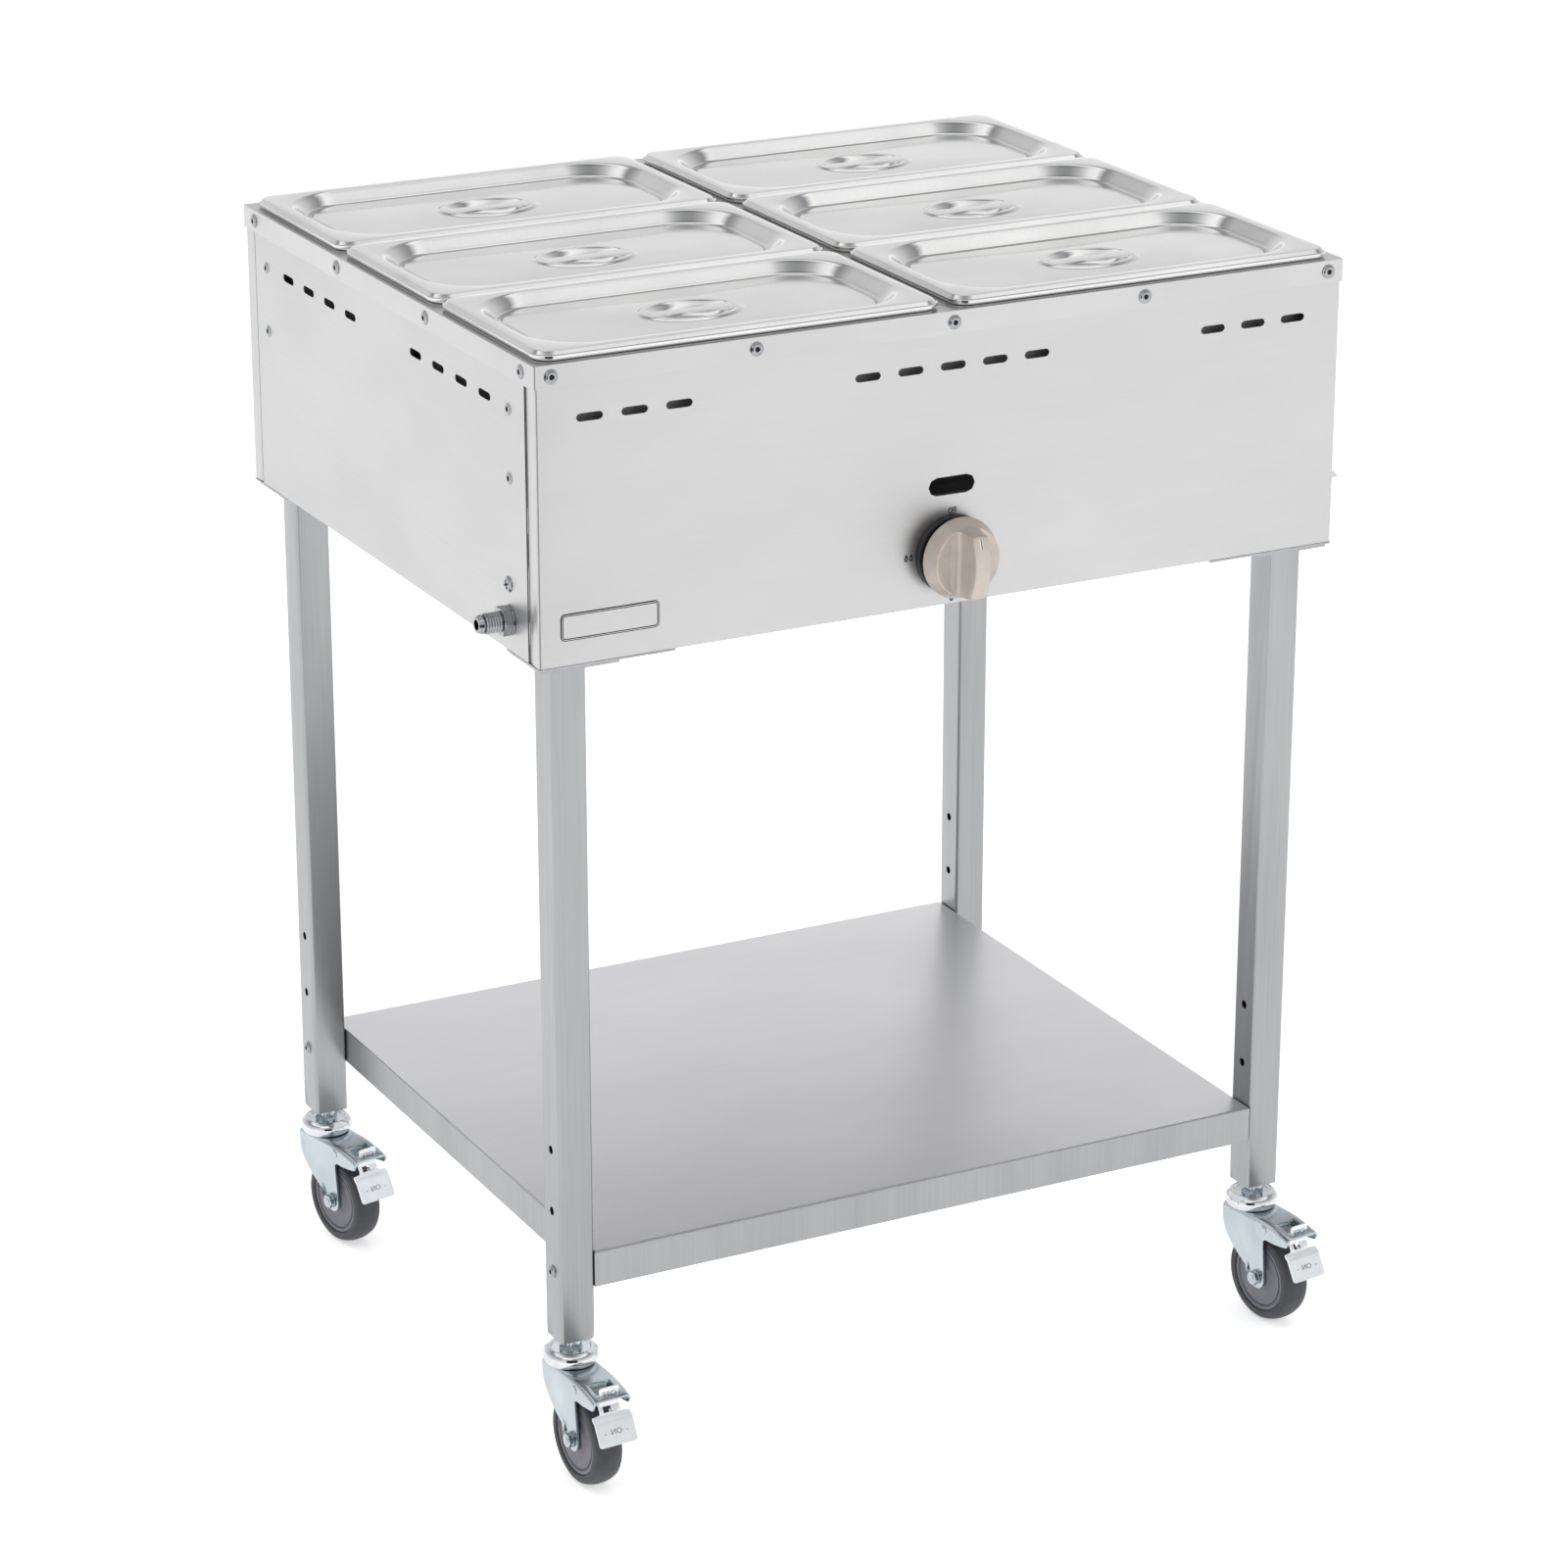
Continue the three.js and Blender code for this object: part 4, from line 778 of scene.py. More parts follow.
knob = {
    "skirtBack": 13, "skirtEdge": 1, "skirtRadius": 31, "rimRadius": 26.6, "coneRadius": 24,
    "coneTop": 43, "crown": 48, "rimDepth": 25.9, "floorDepth": 24.7, "wallStart": 35,
    "barSpread": 0.14, "barLevels": (24.2, 25.2, 25.8, 26.8, 28.5, 31, 35, 39, 42.3, 42.8, 43, 43, 43),
    "barHalves": (15, 13, 11, 9.2, 8, 7.2, 6.7, 6.45, 6.3, 6.1, 5.6, 3, 0),
    "barInsets": (0, 0, 0, 0, 0, 0, 0, 0, 0, 0.2, 0.7, 0.7, 0.7), "markFrom": 15, "markTo": 22,
    "bezelRadius": 30, "bezelFront": 29.4, "bezelHeight": 5, "bezelBore": 16,
}
panelMark = {
    "height": 4.9, "narrow": 0.56, "offRise": 32.6, "dropReach": 35.6, "dropHeight": 5.6,
    "weight": 0.12, "depth": 0.15, "shift": 0.8, "dropHalfGap": 2.1,
}


def coneAt(depth):
    # The knob's radius at a depth in front of the panel.
    levels = (knob["skirtBack"] + knob["skirtEdge"], knob["rimDepth"], knob["coneTop"])
    return np.interp(depth, levels, (knob["skirtRadius"], knob["rimRadius"], knob["coneRadius"]))


def archHeight(y):
    # The bar's front: a parabola over its length, highest in the middle.
    share = y / knob["coneRadius"]
    return knob["coneTop"] + (knob["crown"] - knob["coneTop"]) * (1 - share**2)


def knobSkirt():
    # The cone up to the scoops: a thin bright rim round a shallow dished floor.
    back, rim, floor = knob["skirtBack"], knob["rimDepth"], knob["floorDepth"]
    bore, skirt, wide = 4.3, knob["skirtRadius"], coneAt(rim)
    profile = [
        (bore, back + 18), (bore, back), (skirt, back), (skirt, back + knob["skirtEdge"]), (wide, rim),
        (wide - 0.9, rim), (wide - 7, floor), (bore + 1, floor), (bore + 1, back + 18),
    ]
    return lathedPart(profile, [0, 0, 0.4, 0.6, 0.35, 0.4, 5, 0, 0], 6, 112, loop=True)


def knobGrip():
    # A bar between the scoops. Each ring has two straight sides and two arcs of the cone's own
    # radius; above wallStart the rings bend more and more to the arch, and the last one is a line.
    level, half, inset = (np.array(knob[key], float) for key in ("barLevels", "barHalves", "barInsets"))
    radius = coneAt(level) - inset
    corner = np.arcsin(half / radius)
    side = (radius * np.cos(corner))[:, None] * np.linspace(-1, 1, 25)[None, :-1]
    angle = corner[:, None] * np.linspace(1, -1, 13)[None, :-1]
    endX, endY = radius[:, None] * np.sin(angle), radius[:, None] * np.cos(angle)
    sideX = half[:, None] + 0 * side
    x = np.concatenate([sideX, endX, -sideX, -endX], 1)
    y = np.concatenate([side, endY, -side, -endY], 1)
    bent = np.clip((level - knob["wallStart"]) / (knob["coneTop"] - knob["wallStart"]), 0, 1)
    depth = level[:, None] + (archHeight(y) - knob["coneTop"]) * bent[:, None]
    wider = 1 + knob["barSpread"] * np.clip(-y / knob["coneRadius"], 0, 1) ** 2
    return gridPart(np.stack([x * wider, y, depth], -1), caps=1)


def pointerPart(low, high, proud):
    # A short strip that follows the arch, standing a little proud of it.
    y = np.linspace(knob["markFrom"], knob["markTo"], 9)[:, None]
    x = np.array([[low, high]])
    upper = np.stack([x + 0 * y, y + 0 * x, archHeight(y) + proud + 0 * x], -1)
    lower = upper - (0, 0, 0.6)
    return gridPart(np.concatenate([upper, lower[:, ::-1]], axis=1))


def addKnob():
    bore, wide, high = knob["bezelBore"], knob["bezelRadius"], knob["bezelHeight"]
    keys = [(bore, 0.3), (wide, 0.3), (knob["bezelFront"], high), (bore, high)]
    ring = turnedGrid(softened(keys, [0.2, 0.2, 1.2, 0.4], 5, closed=True), 96)
    bezel = gridPart(ring, loop=True)
    pieces = (
        ("knob_skirt", knobSkirt(), "knob", "champagne_lacquered_abs", "knob_tan", ["knob"]),
        ("knob_grip", knobGrip(), "knob", "champagne_lacquered_abs", "knob_tan"),
        ("knob_pointer", pointerPart(-1.1, 1.1, 0.1), "knob", "white_pad_ink", "knob_tan"),
        ("knob_pointer_line", pointerPart(-0.3, 0.6, 0.16), "knob", "black_screen_ink", "knob_tan"),
        ("bezel_ring", bezel, "table", "black_phenolic", "black_plastic", ["knob_bezel"]),
    )
    for name, part, *rest in pieces:
        addPiece(name, placedPart(part, jointPlace("knob_turn"), frontAxes), *rest)


def textPart(words, height, depth, weight=0):
    # Plain capitals as a mesh about their own middle, given their height and added stroke weight.
    curve = bpy.data.curves.new("words", "FONT")
    curve.body = words
    curve.align_x = "CENTER"
    curve.align_y = "CENTER"
    curve.size = height / 0.69  # a capital is 0.69 of the font's size
    curve.extrude = depth
    curve.offset = weight
    curve.resolution_u = 3
    holder = addObject("words", curve)
    made = bpy.data.meshes.new_from_object(holder)
    points = np.zeros(len(made.vertices) * 3)
    made.vertices.foreach_get("co", points)
    faces = [list(face.vertices) for face in made.polygons]
    bpy.data.objects.remove(holder)
    bpy.data.curves.remove(curve)
    bpy.data.meshes.remove(made)
    points = points.reshape(-1, 3)
    points[:, :2] -= (points[:, :2].min(0) + points[:, :2].max(0)) / 2
    return points, faces


def dropPart(height, depth):
    # A flame drop with an open middle: radius by angle, pointed at the top, as a ring of two outlines.
    angle = np.linspace(0, 2 * math.pi, 41)[:-1]
    pointed = 1 + 0.9 * np.clip(np.sin(angle), 0, 1) ** 7
    unit = height / 2.9  # 1.9 above the middle and 1 below
    rings = []
    for scale, z in ((1, -depth), (1, depth), (0.36, depth), (0.36, -depth)):
        x, y = np.cos(angle) * pointed * scale * 0.8, np.sin(angle) * pointed * scale
        rings.append(np.stack([x * unit, y * unit, 0 * angle + z], -1))
    return gridPart(np.stack(rings), loop=True)


def addPanelMarks():
    # OFF above the knob, two drops side by side to its left and one below it.
    depth, reach, shift = panelMark["depth"], panelMark["dropReach"], panelMark["shift"]
    points, faces = textPart("OFF", panelMark["height"], depth, panelMark["weight"])
    parts = [placedPart((points * (panelMark["narrow"], 1, 1), faces), (shift, panelMark["offRise"], 0))]
    gap = panelMark["dropHalfGap"]
    for x, y in ((-reach - gap, 0), (-reach + gap, 0), (shift, -reach)):
        parts.append(placedPart(dropPart(panelMark["dropHeight"], depth), (x, y, 0)))
    marks = placedPart(joinedParts(parts), jointPlace("knob_turn"), frontAxes)
    addPiece("panel_marks", marks, "table", "black_screen_ink", "body_steel")


addKnob()
addPanelMarks()

# A bare rating plate, low at the front's left end

plate = {"fromLeft": 19, "rise": 19, "width": 77, "height": 19, "corner": 3, "thickness": 0.7}


def addBarePlate():
    half, high = (plate["width"] / 2, plate["height"] / 2), plate["thickness"]
    left = middle[0] - body["halfX"] + plate["fromLeft"]
    origin = (left + half[0], jointPlace("knob_turn")[1], panelBottom + plate["rise"] + half[1])

    def rings(*steps):
        # Each step holds how far the rim is drawn in, how much its corners are, and the height.
        return [boxKey(half, inset, plate["corner"] - turn, z) for inset, turn, z in steps]

    face = rings((0, 0, -0.2), (0, 0, high), (1.1, 1, high), (1.5, 1.4, high - 0.25))
    face = placedPart(gridPart(ringGrid(softened(face, [0, 0.3, 0.2, 0], 4), 10)), origin, frontAxes)
    addPiece("bare_plate", face, "table", "satin_stainless_sheet", "body_steel")
    # Painted shade round its rim: two narrow dark rings, one beside the plate and one in its own groove.
    for name, outer, inner, low, top in (
        ("bare_plate_gap_shade", (-0.7, -0.7), (0.1, 0.1), -0.2, 0.16),
        ("bare_plate_groove_shade", (0.6, 0.6), (1.25, 1.2), high - 0.2, high + 0.05),
    ):
        line = rings((*outer, low), (*outer, top), (*inner, top), (*inner, low))
        part = placedPart(gridPart(ringGrid(line, 10), loop=True), origin, frontAxes)
        addPiece(name, part, "table", "pin_steel_and_painted_shade", "body_steel")


addBarePlate()
print("knob, marks and plate made")

# Casters: everything is drawn with X forward, Y up and Z across the wheel, about the swivel axis

caster = {
    "wheelRadius": 37.5, "tyreHalfWidth": 11.7, "hubRadius": 28.5, "trail": 24, "forkHalfWidth": 17,
    "forkTaper": 0.062, "forkTop": 91, "forkWall": 1.8, "forkBack": -16, "forkFront": 63.5,
    "forkDrop": 5.5, "slopeStart": 22, "bendRadius": 4, "lobeRadius": 9.5, "armBottom": 76,
    "windowBack": 41, "windowFront": 60.5, "windowHalf": 9.4, "pinForward": 34.5, "pinHeight": 84.5,
    "pinRadius": 3.6, "ringRadius": 22.2, "ringHeight": 12.2, "nutRadius": 9.6, "legFoot": 112,
    "boltRadius": 6, "boltLength": 4.5, "boreRadius": 4.3, "padHalf": 16, "neckHalf": 8.6,
    "tabHalf": 8.4, "endRadius": 2.9, "springRadius": 2.4, "springWire": 0.5, "springTurns": 4,
    "pedalWall": 1.4, "wordsRise": 0.75,
}


def forkTopAt(forward):
    # The top plate: level to the slope's start, then falling by a power of the way to the nose.
    span = caster["forkFront"] - caster["slopeStart"]
    share = np.clip((forward - caster["slopeStart"]) / span, 0, 1)
    return caster["forkTop"] - caster["forkDrop"] * share**2.2


def forkLowerEdge():
    # The side plate's lower edge from back to nose: a curve down to the lobe round the axle, the
    # lobe's own arc, up the front of the leg, a round inner corner and along under the nose.
    trail, axle, lobe = caster["trail"], caster["wheelRadius"], caster["lobeRadius"]
    t = np.linspace(0, 1, 14)[:, None]
    start = np.array([caster["forkBack"], caster["armBottom"]])
    pull, stop = start - (0, 16), np.array([trail - lobe, axle + lobe / 2])
    back = parabola(start, pull, stop, t)
    angle = np.linspace(math.radians(162), 2 * math.pi, 18)[:, None]
    arc = np.array([trail, axle]) + lobe * np.concatenate([np.cos(angle), np.sin(angle)], 1)
    riser = np.array([[trail + lobe, level] for level in (45, 53, 61, 68)])
    inner = softened([(33.5, 66), (33.5, 76), (46, 76)], 7, 7)[1:]
    under = np.array([[49, 76.3], [53, 76.8], [57, 77.4], [60.5, 78], [62, 78.3]])
    edge = np.concatenate([back, arc, riser, inner, under])
    starts = np.cumsum([0, len(back), len(arc), len(riser), len(inner)])
    topPlaces = [caster["forkBack"], 4, 30, 33, 44, caster["forkFront"]]
    forward = np.interp(np.arange(len(edge)), [*starts, len(edge) - 1], topPlaces)
    for mark in (caster["windowBack"], caster["windowFront"]):
        forward[np.abs(forward - mark).argmin()] = mark
    return edge, forward


def forkSkin():
    # Ruled from the lower edge up the side, over a round bend and across the top to the other side.
    edge, forward = forkLowerEdge()
    top, bend = forkTopAt(forward), caster["bendRadius"]
    rise = np.linspace(0, 1, 7)[None, :]
    sideX = edge[:, 0, None] * (1 - rise) + forward[:, None] * rise
    sideY = edge[:, 1, None] * (1 - rise) + (top - bend)[:, None] * rise
    sideZ = caster["forkHalfWidth"] - (caster["forkTop"] - sideY) * caster["forkTaper"]
    angle = np.linspace(0, math.pi / 2, 6)[None, 1:]
    foot = caster["forkHalfWidth"] - (caster["forkTop"] - top + bend) * caster["forkTaper"]
    bendZ = foot[:, None] - bend + bend * np.cos(angle)
    bendY = (top - bend)[:, None] + bend * np.sin(angle)
    bendX = forward[:, None] + 0 * bendY
    flatZ = np.array([[caster["windowHalf"], 4.5]]) + 0 * forward[:, None]
    flatX, flatY = forward[:, None] + 0 * flatZ, top[:, None] + 0 * flatZ
    bands = ((sideX, bendX, flatX), (sideY, bendY, flatY), (sideZ, bendZ, flatZ))
    half = np.stack([np.concatenate(band, 1) for band in bands], -1)
    grid = np.concatenate([half, half[:, ::-1] * (1, 1, -1)], 1)
    width = grid.shape[1]
    between = (forward[:-1] + forward[1:]) / 2
    inWindow = (between > caster["windowBack"]) & (between < caster["windowFront"])
    share = (np.arange(width - 1) + 0.5) - (width - 1) / 2
    keep = ~(inWindow[:, None] & (np.abs(share)[None, :] < 2))
    return grid, keep


def wheelTurned(profile, cuts, steps):
    # A profile of radius and distance across, mirrored to both sides of the wheel and closed.
    half = softened(profile, cuts, steps)
    grid = turnedGrid(np.concatenate([half, half[::-1] * (1, -1)]), 96)
    return placedPart(gridPart(grid, loop=True), (caster["trail"], caster["wheelRadius"], 0))


def hubPart():
    # A rim band, a narrow groove inside it and a level disc with a low boss.
    rim, bore = caster["hubRadius"] - 0.2, caster["boreRadius"]
    profile = [
        (rim, 0.5), (rim, 10.4), (rim - 2.6, 10.4), (rim - 2.9, 9.7), (rim - 3.5, 8.7), (rim - 4.2, 8.7),
        (rim - 4.5, 9.9), (rim - 5.3, 10), (14, 9.5), (12, 10.7), (9, 10.7), (bore, 10.7), (bore, 0.5),
    ]
    return wheelTurned(profile, [0, 0.3, 0.3, 0.2, 0.2, 0.2, 0.3, 0.4, 1, 0.6, 0.3, 0.2, 0], 4)


def tyrePart():
    radius, half = caster["wheelRadius"], caster["tyreHalfWidth"]
    inner = caster["hubRadius"] + 0.1
    profile = [
        (inner, 0.5), (inner, half - 0.7), (inner + 0.6, half), (33, half), (35.3, half - 1.1),
        (radius - 0.7, half * 0.55), (radius, half * 0.25), (radius, 0.5),
    ]
    return wheelTurned(profile, [0, 0.3, 0.4, 1, 2.4, 2.4, 2, 0], 5)


def boltedPart(forward, up, shaft, grids):
    # A bolt across the fork, drawn about Z: its shaft, and the same end pieces facing out of each side.
    parts = [gridPart(shaft)] + [gridPart(grid * (1, side, side)) for side in (1, -1) for grid in grids]
    return placedPart(joinedParts(parts), (forward, up, 0))


def axlePart():
    # The bolt's shank, a washer and a nut on both sides, and the shank's rounded ends.
    axle = caster["wheelRadius"]
    face = caster["forkHalfWidth"] - (caster["forkTop"] - axle - 6) * caster["forkTaper"] + 0.3
    nut = hexGrid(caster["boltRadius"], face + 0.9, face + caster["boltLength"] - 0.6, 0.8)
    washer = turnedGrid(softened([(6.2, face), (6.2, face + 0.9), (3, face + 0.9)], [0, 0.2, 0], 3), 36)
    radius, tip = caster["endRadius"], face + caster["boltLength"]
    end = turnedGrid(softened([(radius, face), (radius, tip - 0.1), (0.05, tip)], [0, 0.5, 0], 4), 24)
    shaft = turnedGrid(np.array([(4, -face), (4, face)]), 24)
    return boltedPart(caster["trail"], axle, shaft, (nut, washer, end))


def pinPart():
    # The pedal's pin, with a flat dome at each end.
    radius, face = caster["pinRadius"], caster["forkHalfWidth"] - 0.6
    profile = [(radius, face), (radius, face + 0.9), (0.4 * radius, face + 1.8), (0.1, face + 1.9)]
    dome = turnedGrid(softened(profile, [0, 0.5, 0.8, 0], 4), 28)
    shaft = turnedGrid(np.array([(1.8, -face), (1.8, face)]), 16)
    return boltedPart(caster["pinForward"], caster["pinHeight"], shaft, (dome,))


def headParts():
    # The bearing ring and its retainer about the swivel axis, then the nut with the stem above it.
    base, high, foot = caster["forkTop"] + 0.3, caster["ringHeight"], caster["legFoot"]
    ring = caster["ringRadius"]
    profile = [
        (0.1, 86.5), (9, 86.5), (9, 88.9), (6, 88.9), (6, base), (ring - 2.6, base),
        (ring, base + 0.36 * high), (ring - 1.2, base + 0.78 * high), (ring - 5, base + high),
        (ring - 6.6, base + high - 0.4), (ring - 7.4, base + high - 2), (0.1, base + high - 2.2),
    ]
    bearing = lathedPart(profile, [0, 0, 0.3, 0, 0, 1.2, 3.2, 3, 1.6, 0.6, 0.6, 0], 6, 80)
    nut = hexGrid(caster["nutRadius"], base + high - 2.3, foot - 0.3, 1.1)
    stem = turnedGrid(np.array([(5, foot - 1), (5, foot + 17.5), (4, foot + 18)]), 24)
    return bearing, joinedParts([gridPart(nut), gridPart(stem)])


def pedalParts():
    # The pedal is one strip: from the pin's lug over the shoe, out through the fork's mouth as two
    # prongs, then bent into a wide plate. The release tab is a second strip that stands up in the
    # window. Keys hold forward, up and half width.
    neck, pad, tab = caster["neckHalf"], caster["padHalf"], caster["tabHalf"]
    path = [
        (35, 82.4, neck), (49, 82.2, neck), (56.6, 79.4, neck), (60, 74, neck), (60.5, 72.6, neck + 0.4),
        (60.9, 71.8, pad - 0.5), (62, 70.2, pad), (65, 68.4, pad), (73.2, 53.6, pad),
        (73.8, 52.6, pad - 0.4), (74.2, 51.9, pad - 2),
    ]
    strip = stripGrid(softened(path, [0, 3, 3, 1, 0.2, 0.2, 1, 2.2, 0.4, 0.3, 0], 5), 13)
    forward = (strip[1:, 0, 0] + strip[:-1, 0, 0]) / 2
    share = np.linspace(-1, 1, 13)
    between = (share[1:] + share[:-1]) / 2
    along, across = (forward > 53) & (forward < 60.2), (between > -0.7) & (between < 0.1)
    gap = along[:, None] & across[None, :]
    tabPath = [
        (57.6, 77.5, tab), (58.2, 84, tab), (58.6, 91.6, tab), (58.65, 92.7, tab - 0.3),
        (58.7, 93.5, tab - 1.6),
    ]
    standing = stripGrid(softened(tabPath, [0, 1, 0.6, 0.4, 0], 4), 7)
    plain = {"ring": False, "caps": 0}
    return gridPart(strip, keep=~gap, **plain), gridPart(standing, **plain)


def springPart():
    # The return spring: a wire carried round a helix (R cos t, R sin t, p t) across the pedal.
    radius, wire, turns = caster["springRadius"], caster["springWire"], caster["springTurns"]
    t = np.linspace(0, 2 * math.pi * turns, 20 * turns)[:, None]
    angle = turnAngles(8)
    pitch = 2.5 * wire / (2 * math.pi)
    grid = roundGrid(radius + wire * np.cos(angle), t, pitch * t + wire * np.sin(angle))
    return gridPart(grid + (58.3, 72.8, 1.2))


def lugPart():
    # The pedal's lug round its pin, and the shoe that meets the tyre.
    lug = turnedGrid(np.array([(1.95, -9), (3.4, -9), (3.4, 9), (1.95, 9)]), 28)
    lug = placedPart(gridPart(lug, loop=True), (caster["pinForward"], caster["pinHeight"], 0))
    shoe = gridPart(ringGrid([(3.5, 4.6, 0.8, 0.8, z) for z in (-8.8, 8.8)], 5))
    return joinedParts([lug, placedPart(shoe, (45.5, 78.3, 0))])


def embossedPart(words, height, foot, head):
    # Raised capitals on a leaning plate: across is the text's own direction, up is from foot to head.
    foot, head = np.array(foot), np.array(head)
    up = (head - foot) / np.linalg.norm(head - foot)
    out = np.array([up[1], -up[0]])
    centre = (foot + head) / 2 + out * caster["wordsRise"]
    axes = ((0, 0, -1), (*up, 0), (*out, 0))
    return placedPart(textPart(words, height, 0.25), (*centre, 0), axes)


def casterFrame(corner):
    # Origin and axes of one caster: forward and across lie level, turned by its own rest swivel.
    axis = np.array(jointOf(f"wheel_roll_{corner}")["axis"], float)
    origin = jointPlace(f"swivel_{corner}")
    forward = np.array([axis[1], -axis[0], 0])
    return (origin[0], origin[1], 0), (forward, (0, 0, 1), axis)


ringPart, nutPart = headParts()
forkGrid, forkKeep = forkSkin()
forkPart = gridPart(forkGrid, ring=False, caps=0, keep=forkKeep)
pedalPart, tabPart = pedalParts()
onWords = embossedPart("-  ON  -", 4.2, (73.2, 53.6), (65, 68.4))
offWords = embossedPart("OFF", 4.8, (58.2, 83), (58.6, 92.4))
# Name, shape, body, finish, slot, node that it stands for, sharp angle
casterPieces = (
    ("bearing_ring", ringPart, "table", "chromium_plate", "zinc", "caster_head", 32),
    ("stem_nut", nutPart, "table", "blue_zinc_plate", "zinc", None, 32),
    ("fork_shell", forkPart, "fork", "blue_zinc_plate", "zinc", "caster_fork", 50),
    ("pedal_pin", pinPart(), "fork", "blue_zinc_plate", "zinc", None, 32),
    ("axle_nuts", axlePart(), "fork", "blue_zinc_plate", "zinc", "axle_bolt", 32),
    ("hub_disc", hubPart(), "wheel", "grey_polypropylene", "grey_plastic", "wheel_hub", 32),
    ("tread", tyrePart(), "wheel", "grey_thermoplastic_rubber", "tyre", "tyre", 32),
    ("pedal_plate", pedalPart, "brake", "bright_zinc_plate", "zinc", "brake_pedal", 50),
    ("release_tab", tabPart, "brake", "bright_zinc_plate", "zinc", None, 32),
    ("pedal_lug", lugPart(), "brake", "blue_zinc_plate", "zinc", None, 32),
    ("pedal_spring", springPart(), "brake", "chromium_plate", "zinc", None, 32),
    ("pedal_words", joinedParts([onWords, offWords]), "brake", "turned_steel", "zinc", None, 32),
)
# Wall, its side of the drawn skin, and edge radius of the pieces pressed from sheet
casterSheets = {
    "fork_shell": (caster["forkWall"], -1, 0.5),
    "pedal_plate": (caster["pedalWall"], 0, 0.4),
    "release_tab": (caster["pedalWall"], 0, 0.4),
}


def addCaster(corner):
    origin, axes = casterFrame(corner)
    for name, part, carrier, finish, slot, node, sharpAngle in casterPieces:
        # The head is round and stands on the leg, so it doesn't swivel.
        placed = placedPart(part, origin) if carrier == "table" else placedPart(part, origin, axes)
        rides = carrier if carrier == "table" else f"{carrier}_{corner}"
        standsFor = [f"{node}_{corner}"] if node else ()
        piece = addPiece(f"{name}_{corner}", placed, rides, finish, slot, standsFor, sharpAngle)
        if name in casterSheets:
            wall, side, edge = casterSheets[name]
            thicken(piece, wall, side)
            soften(piece, edge, 3, 50)


for corner in corners:
    addCaster(corner)
print("casters made")

# Floor, light and camera: the studio and its lights are in metres

studio = {
    "floorReach": 30, "floorGlow": 0.52, "strength": 1.2, "cardPlace": (-0.78, -1.5), "cardHalf": 0.55,
    "cardLow": 0.05, "cardHigh": 0.95, "aim": (0, 0, 0.5),
    "tent": (
        (0.0, "ffffff"), (0.25, "dadadb"), (0.46, "cacacc"), (0.6, "acacae"), (0.73, "8c8c8f"),
        (0.82, "ffffff"), (0.9, "ececed"), (1.0, "77787a"),
    ),
}


def addBackdrop(name, corners, surface, tone, roughness, glow=0.0, unseenBy=()):
    # One flat face of the studio in a plain material.
    mesh = bpy.data.meshes.new(name)
    mesh.from_pydata(corners, [], [(0, 1, 2, 3)])
    material = bpy.data.materials.new(surface)
    material.use_nodes = True
    colour = linear(tone)
    shaderOf(material, 0.0, roughness, Base_Color=colour, Emission_Color=colour, Emission_Strength=glow)
    mesh.materials.append(material)
    backdrop = addObject(name, mesh)
    for ray in unseenBy:
        setattr(backdrop, f"visible_{ray}", False)


def addFloor():
    reach = studio["floorReach"]
    square = [(-reach, -reach, 0), (reach, -reach, 0), (reach, reach, 0), (-reach, reach, 0)]
    addBackdrop("floor", square, "matt_studio_paper", "f6f6f6", 0.9, studio["floorGlow"])


def addWorld():
    # A pale tent that darkens with height, with one bright band for the highlights on the lids.
    world = bpy.data.worlds.new("studio")
    bpy.context.scene.world = world
    world.use_nodes = True
    place = addNode(world, "ShaderNodeTexCoord", {}).outputs["Generated"]
    split = addNode(world, "ShaderNodeSeparateXYZ", {}, {"Vector": place})
    ramp = addNode(world, "ShaderNodeValToRGB", {}, {"Fac": split.outputs["Z"]})
    for share, colour in studio["tent"][1:-1]:
        ramp.color_ramp.elements.new(share)
    for element, (share, colour) in zip(ramp.color_ramp.elements, studio["tent"]):
        element.position = share
        element.color = linear(colour)
    back = world.node_tree.nodes["Background"]
    world.node_tree.links.new(ramp.outputs["Color"], back.inputs["Color"])
    back.inputs["Strength"].default_value = studio["strength"]


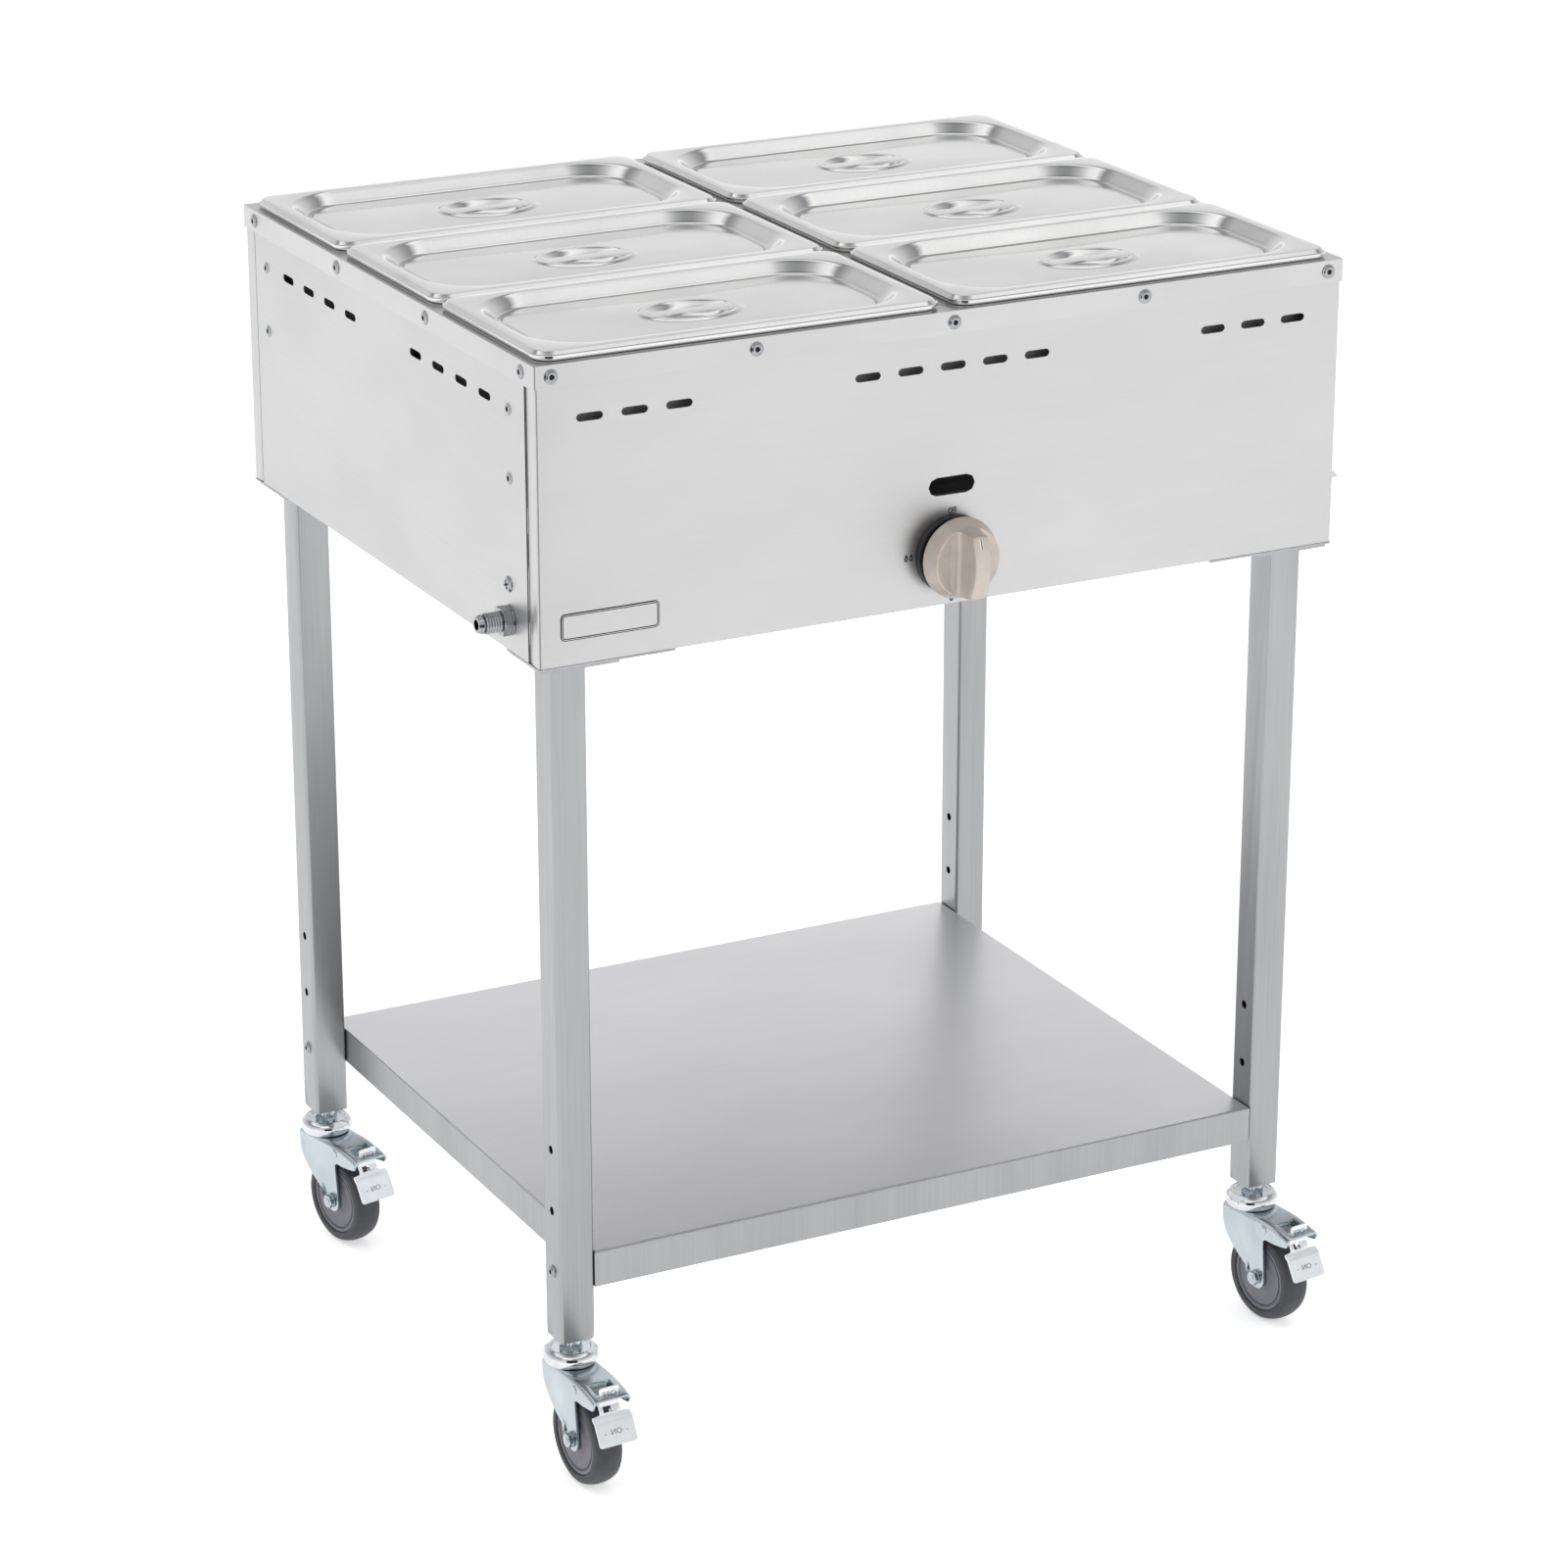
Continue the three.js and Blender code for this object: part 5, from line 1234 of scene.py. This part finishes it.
def addDarkCard():
    # A black card beside the camera that only reflections see: it draws the dark line in each bend.
    place = np.array(studio["cardPlace"])
    across = np.array([-place[1], place[0]]) / np.linalg.norm(place) * studio["cardHalf"]
    low, high = studio["cardLow"], studio["cardHigh"]
    one, two = place - across, place + across
    corners = [(*one, low), (*two, low), (*two, high), (*one, high)]
    rays = ("camera", "diffuse", "shadow")
    addBackdrop("dark_card", corners, "black_felt", "1c1c1c", 1.0, unseenBy=rays)


lights = {
    "key_softbox": {"place": (2.0, -3.4, 2.6), "size": 1.8, "power": 24, "glossy": False},
    "fill_softbox": {"place": (-2.2, -2.2, 3.4), "size": 2.4, "power": 8, "glossy": True},
    "back_softbox": {"place": (-1.6, 3.0, 3.2), "size": 2.8, "power": 26, "glossy": False},
}


def addLight(name, look):
    data = bpy.data.lights.new(name, "AREA")
    data.shape = "SQUARE"
    data.size = look["size"]
    data.energy = look["power"]
    light = addObject(name, data)
    light.location = look["place"]
    light.visible_glossy = look["glossy"]
    toward = Vector(look["place"]) - Vector(studio["aim"])
    light.rotation_euler = toward.to_track_quat("Z", "Y").to_euler()


# The camera's place and turn come from the straight edges of the body, the lids and the legs.
view = {
    "azimuth": -27.482, "elevation": 20.13, "roll": 0.024, "fromMiddle": (-1723.94, -3318.29, 1796.03),
    "lens": 114.12, "sensor": 36,
}


def addCamera():
    azimuth, elevation, roll = (math.radians(view[key]) for key in ("azimuth", "elevation", "roll"))
    level = math.cos(elevation)
    back = np.array([math.sin(azimuth) * level, -math.cos(azimuth) * level, math.sin(elevation)])
    right = np.cross(-back, (0, 0, 1))
    right /= np.linalg.norm(right)
    up = np.cross(right, -back)
    rolledRight = math.cos(roll) * right + math.sin(roll) * up
    rolledUp = math.cos(roll) * up - math.sin(roll) * right
    data = bpy.data.cameras.new("camera")
    data.lens = view["lens"]
    data.sensor_width = view["sensor"]
    data.clip_end = 100
    camera = addObject("camera", data)
    place = (np.array(view["fromMiddle"]) + (middle[0], middle[1], 0)) * mm
    turn = Matrix(np.stack([rolledRight, rolledUp, back], 1).tolist()).to_4x4()
    camera.matrix_world = Matrix.Translation(place.tolist()) @ turn
    bpy.context.scene.camera = camera


addFloor()
addWorld()
addDarkCard()
for name, look in lights.items():
    addLight(name, look)
addCamera()
bpy.context.scene.view_settings.view_transform = "Standard"
print("stage made")
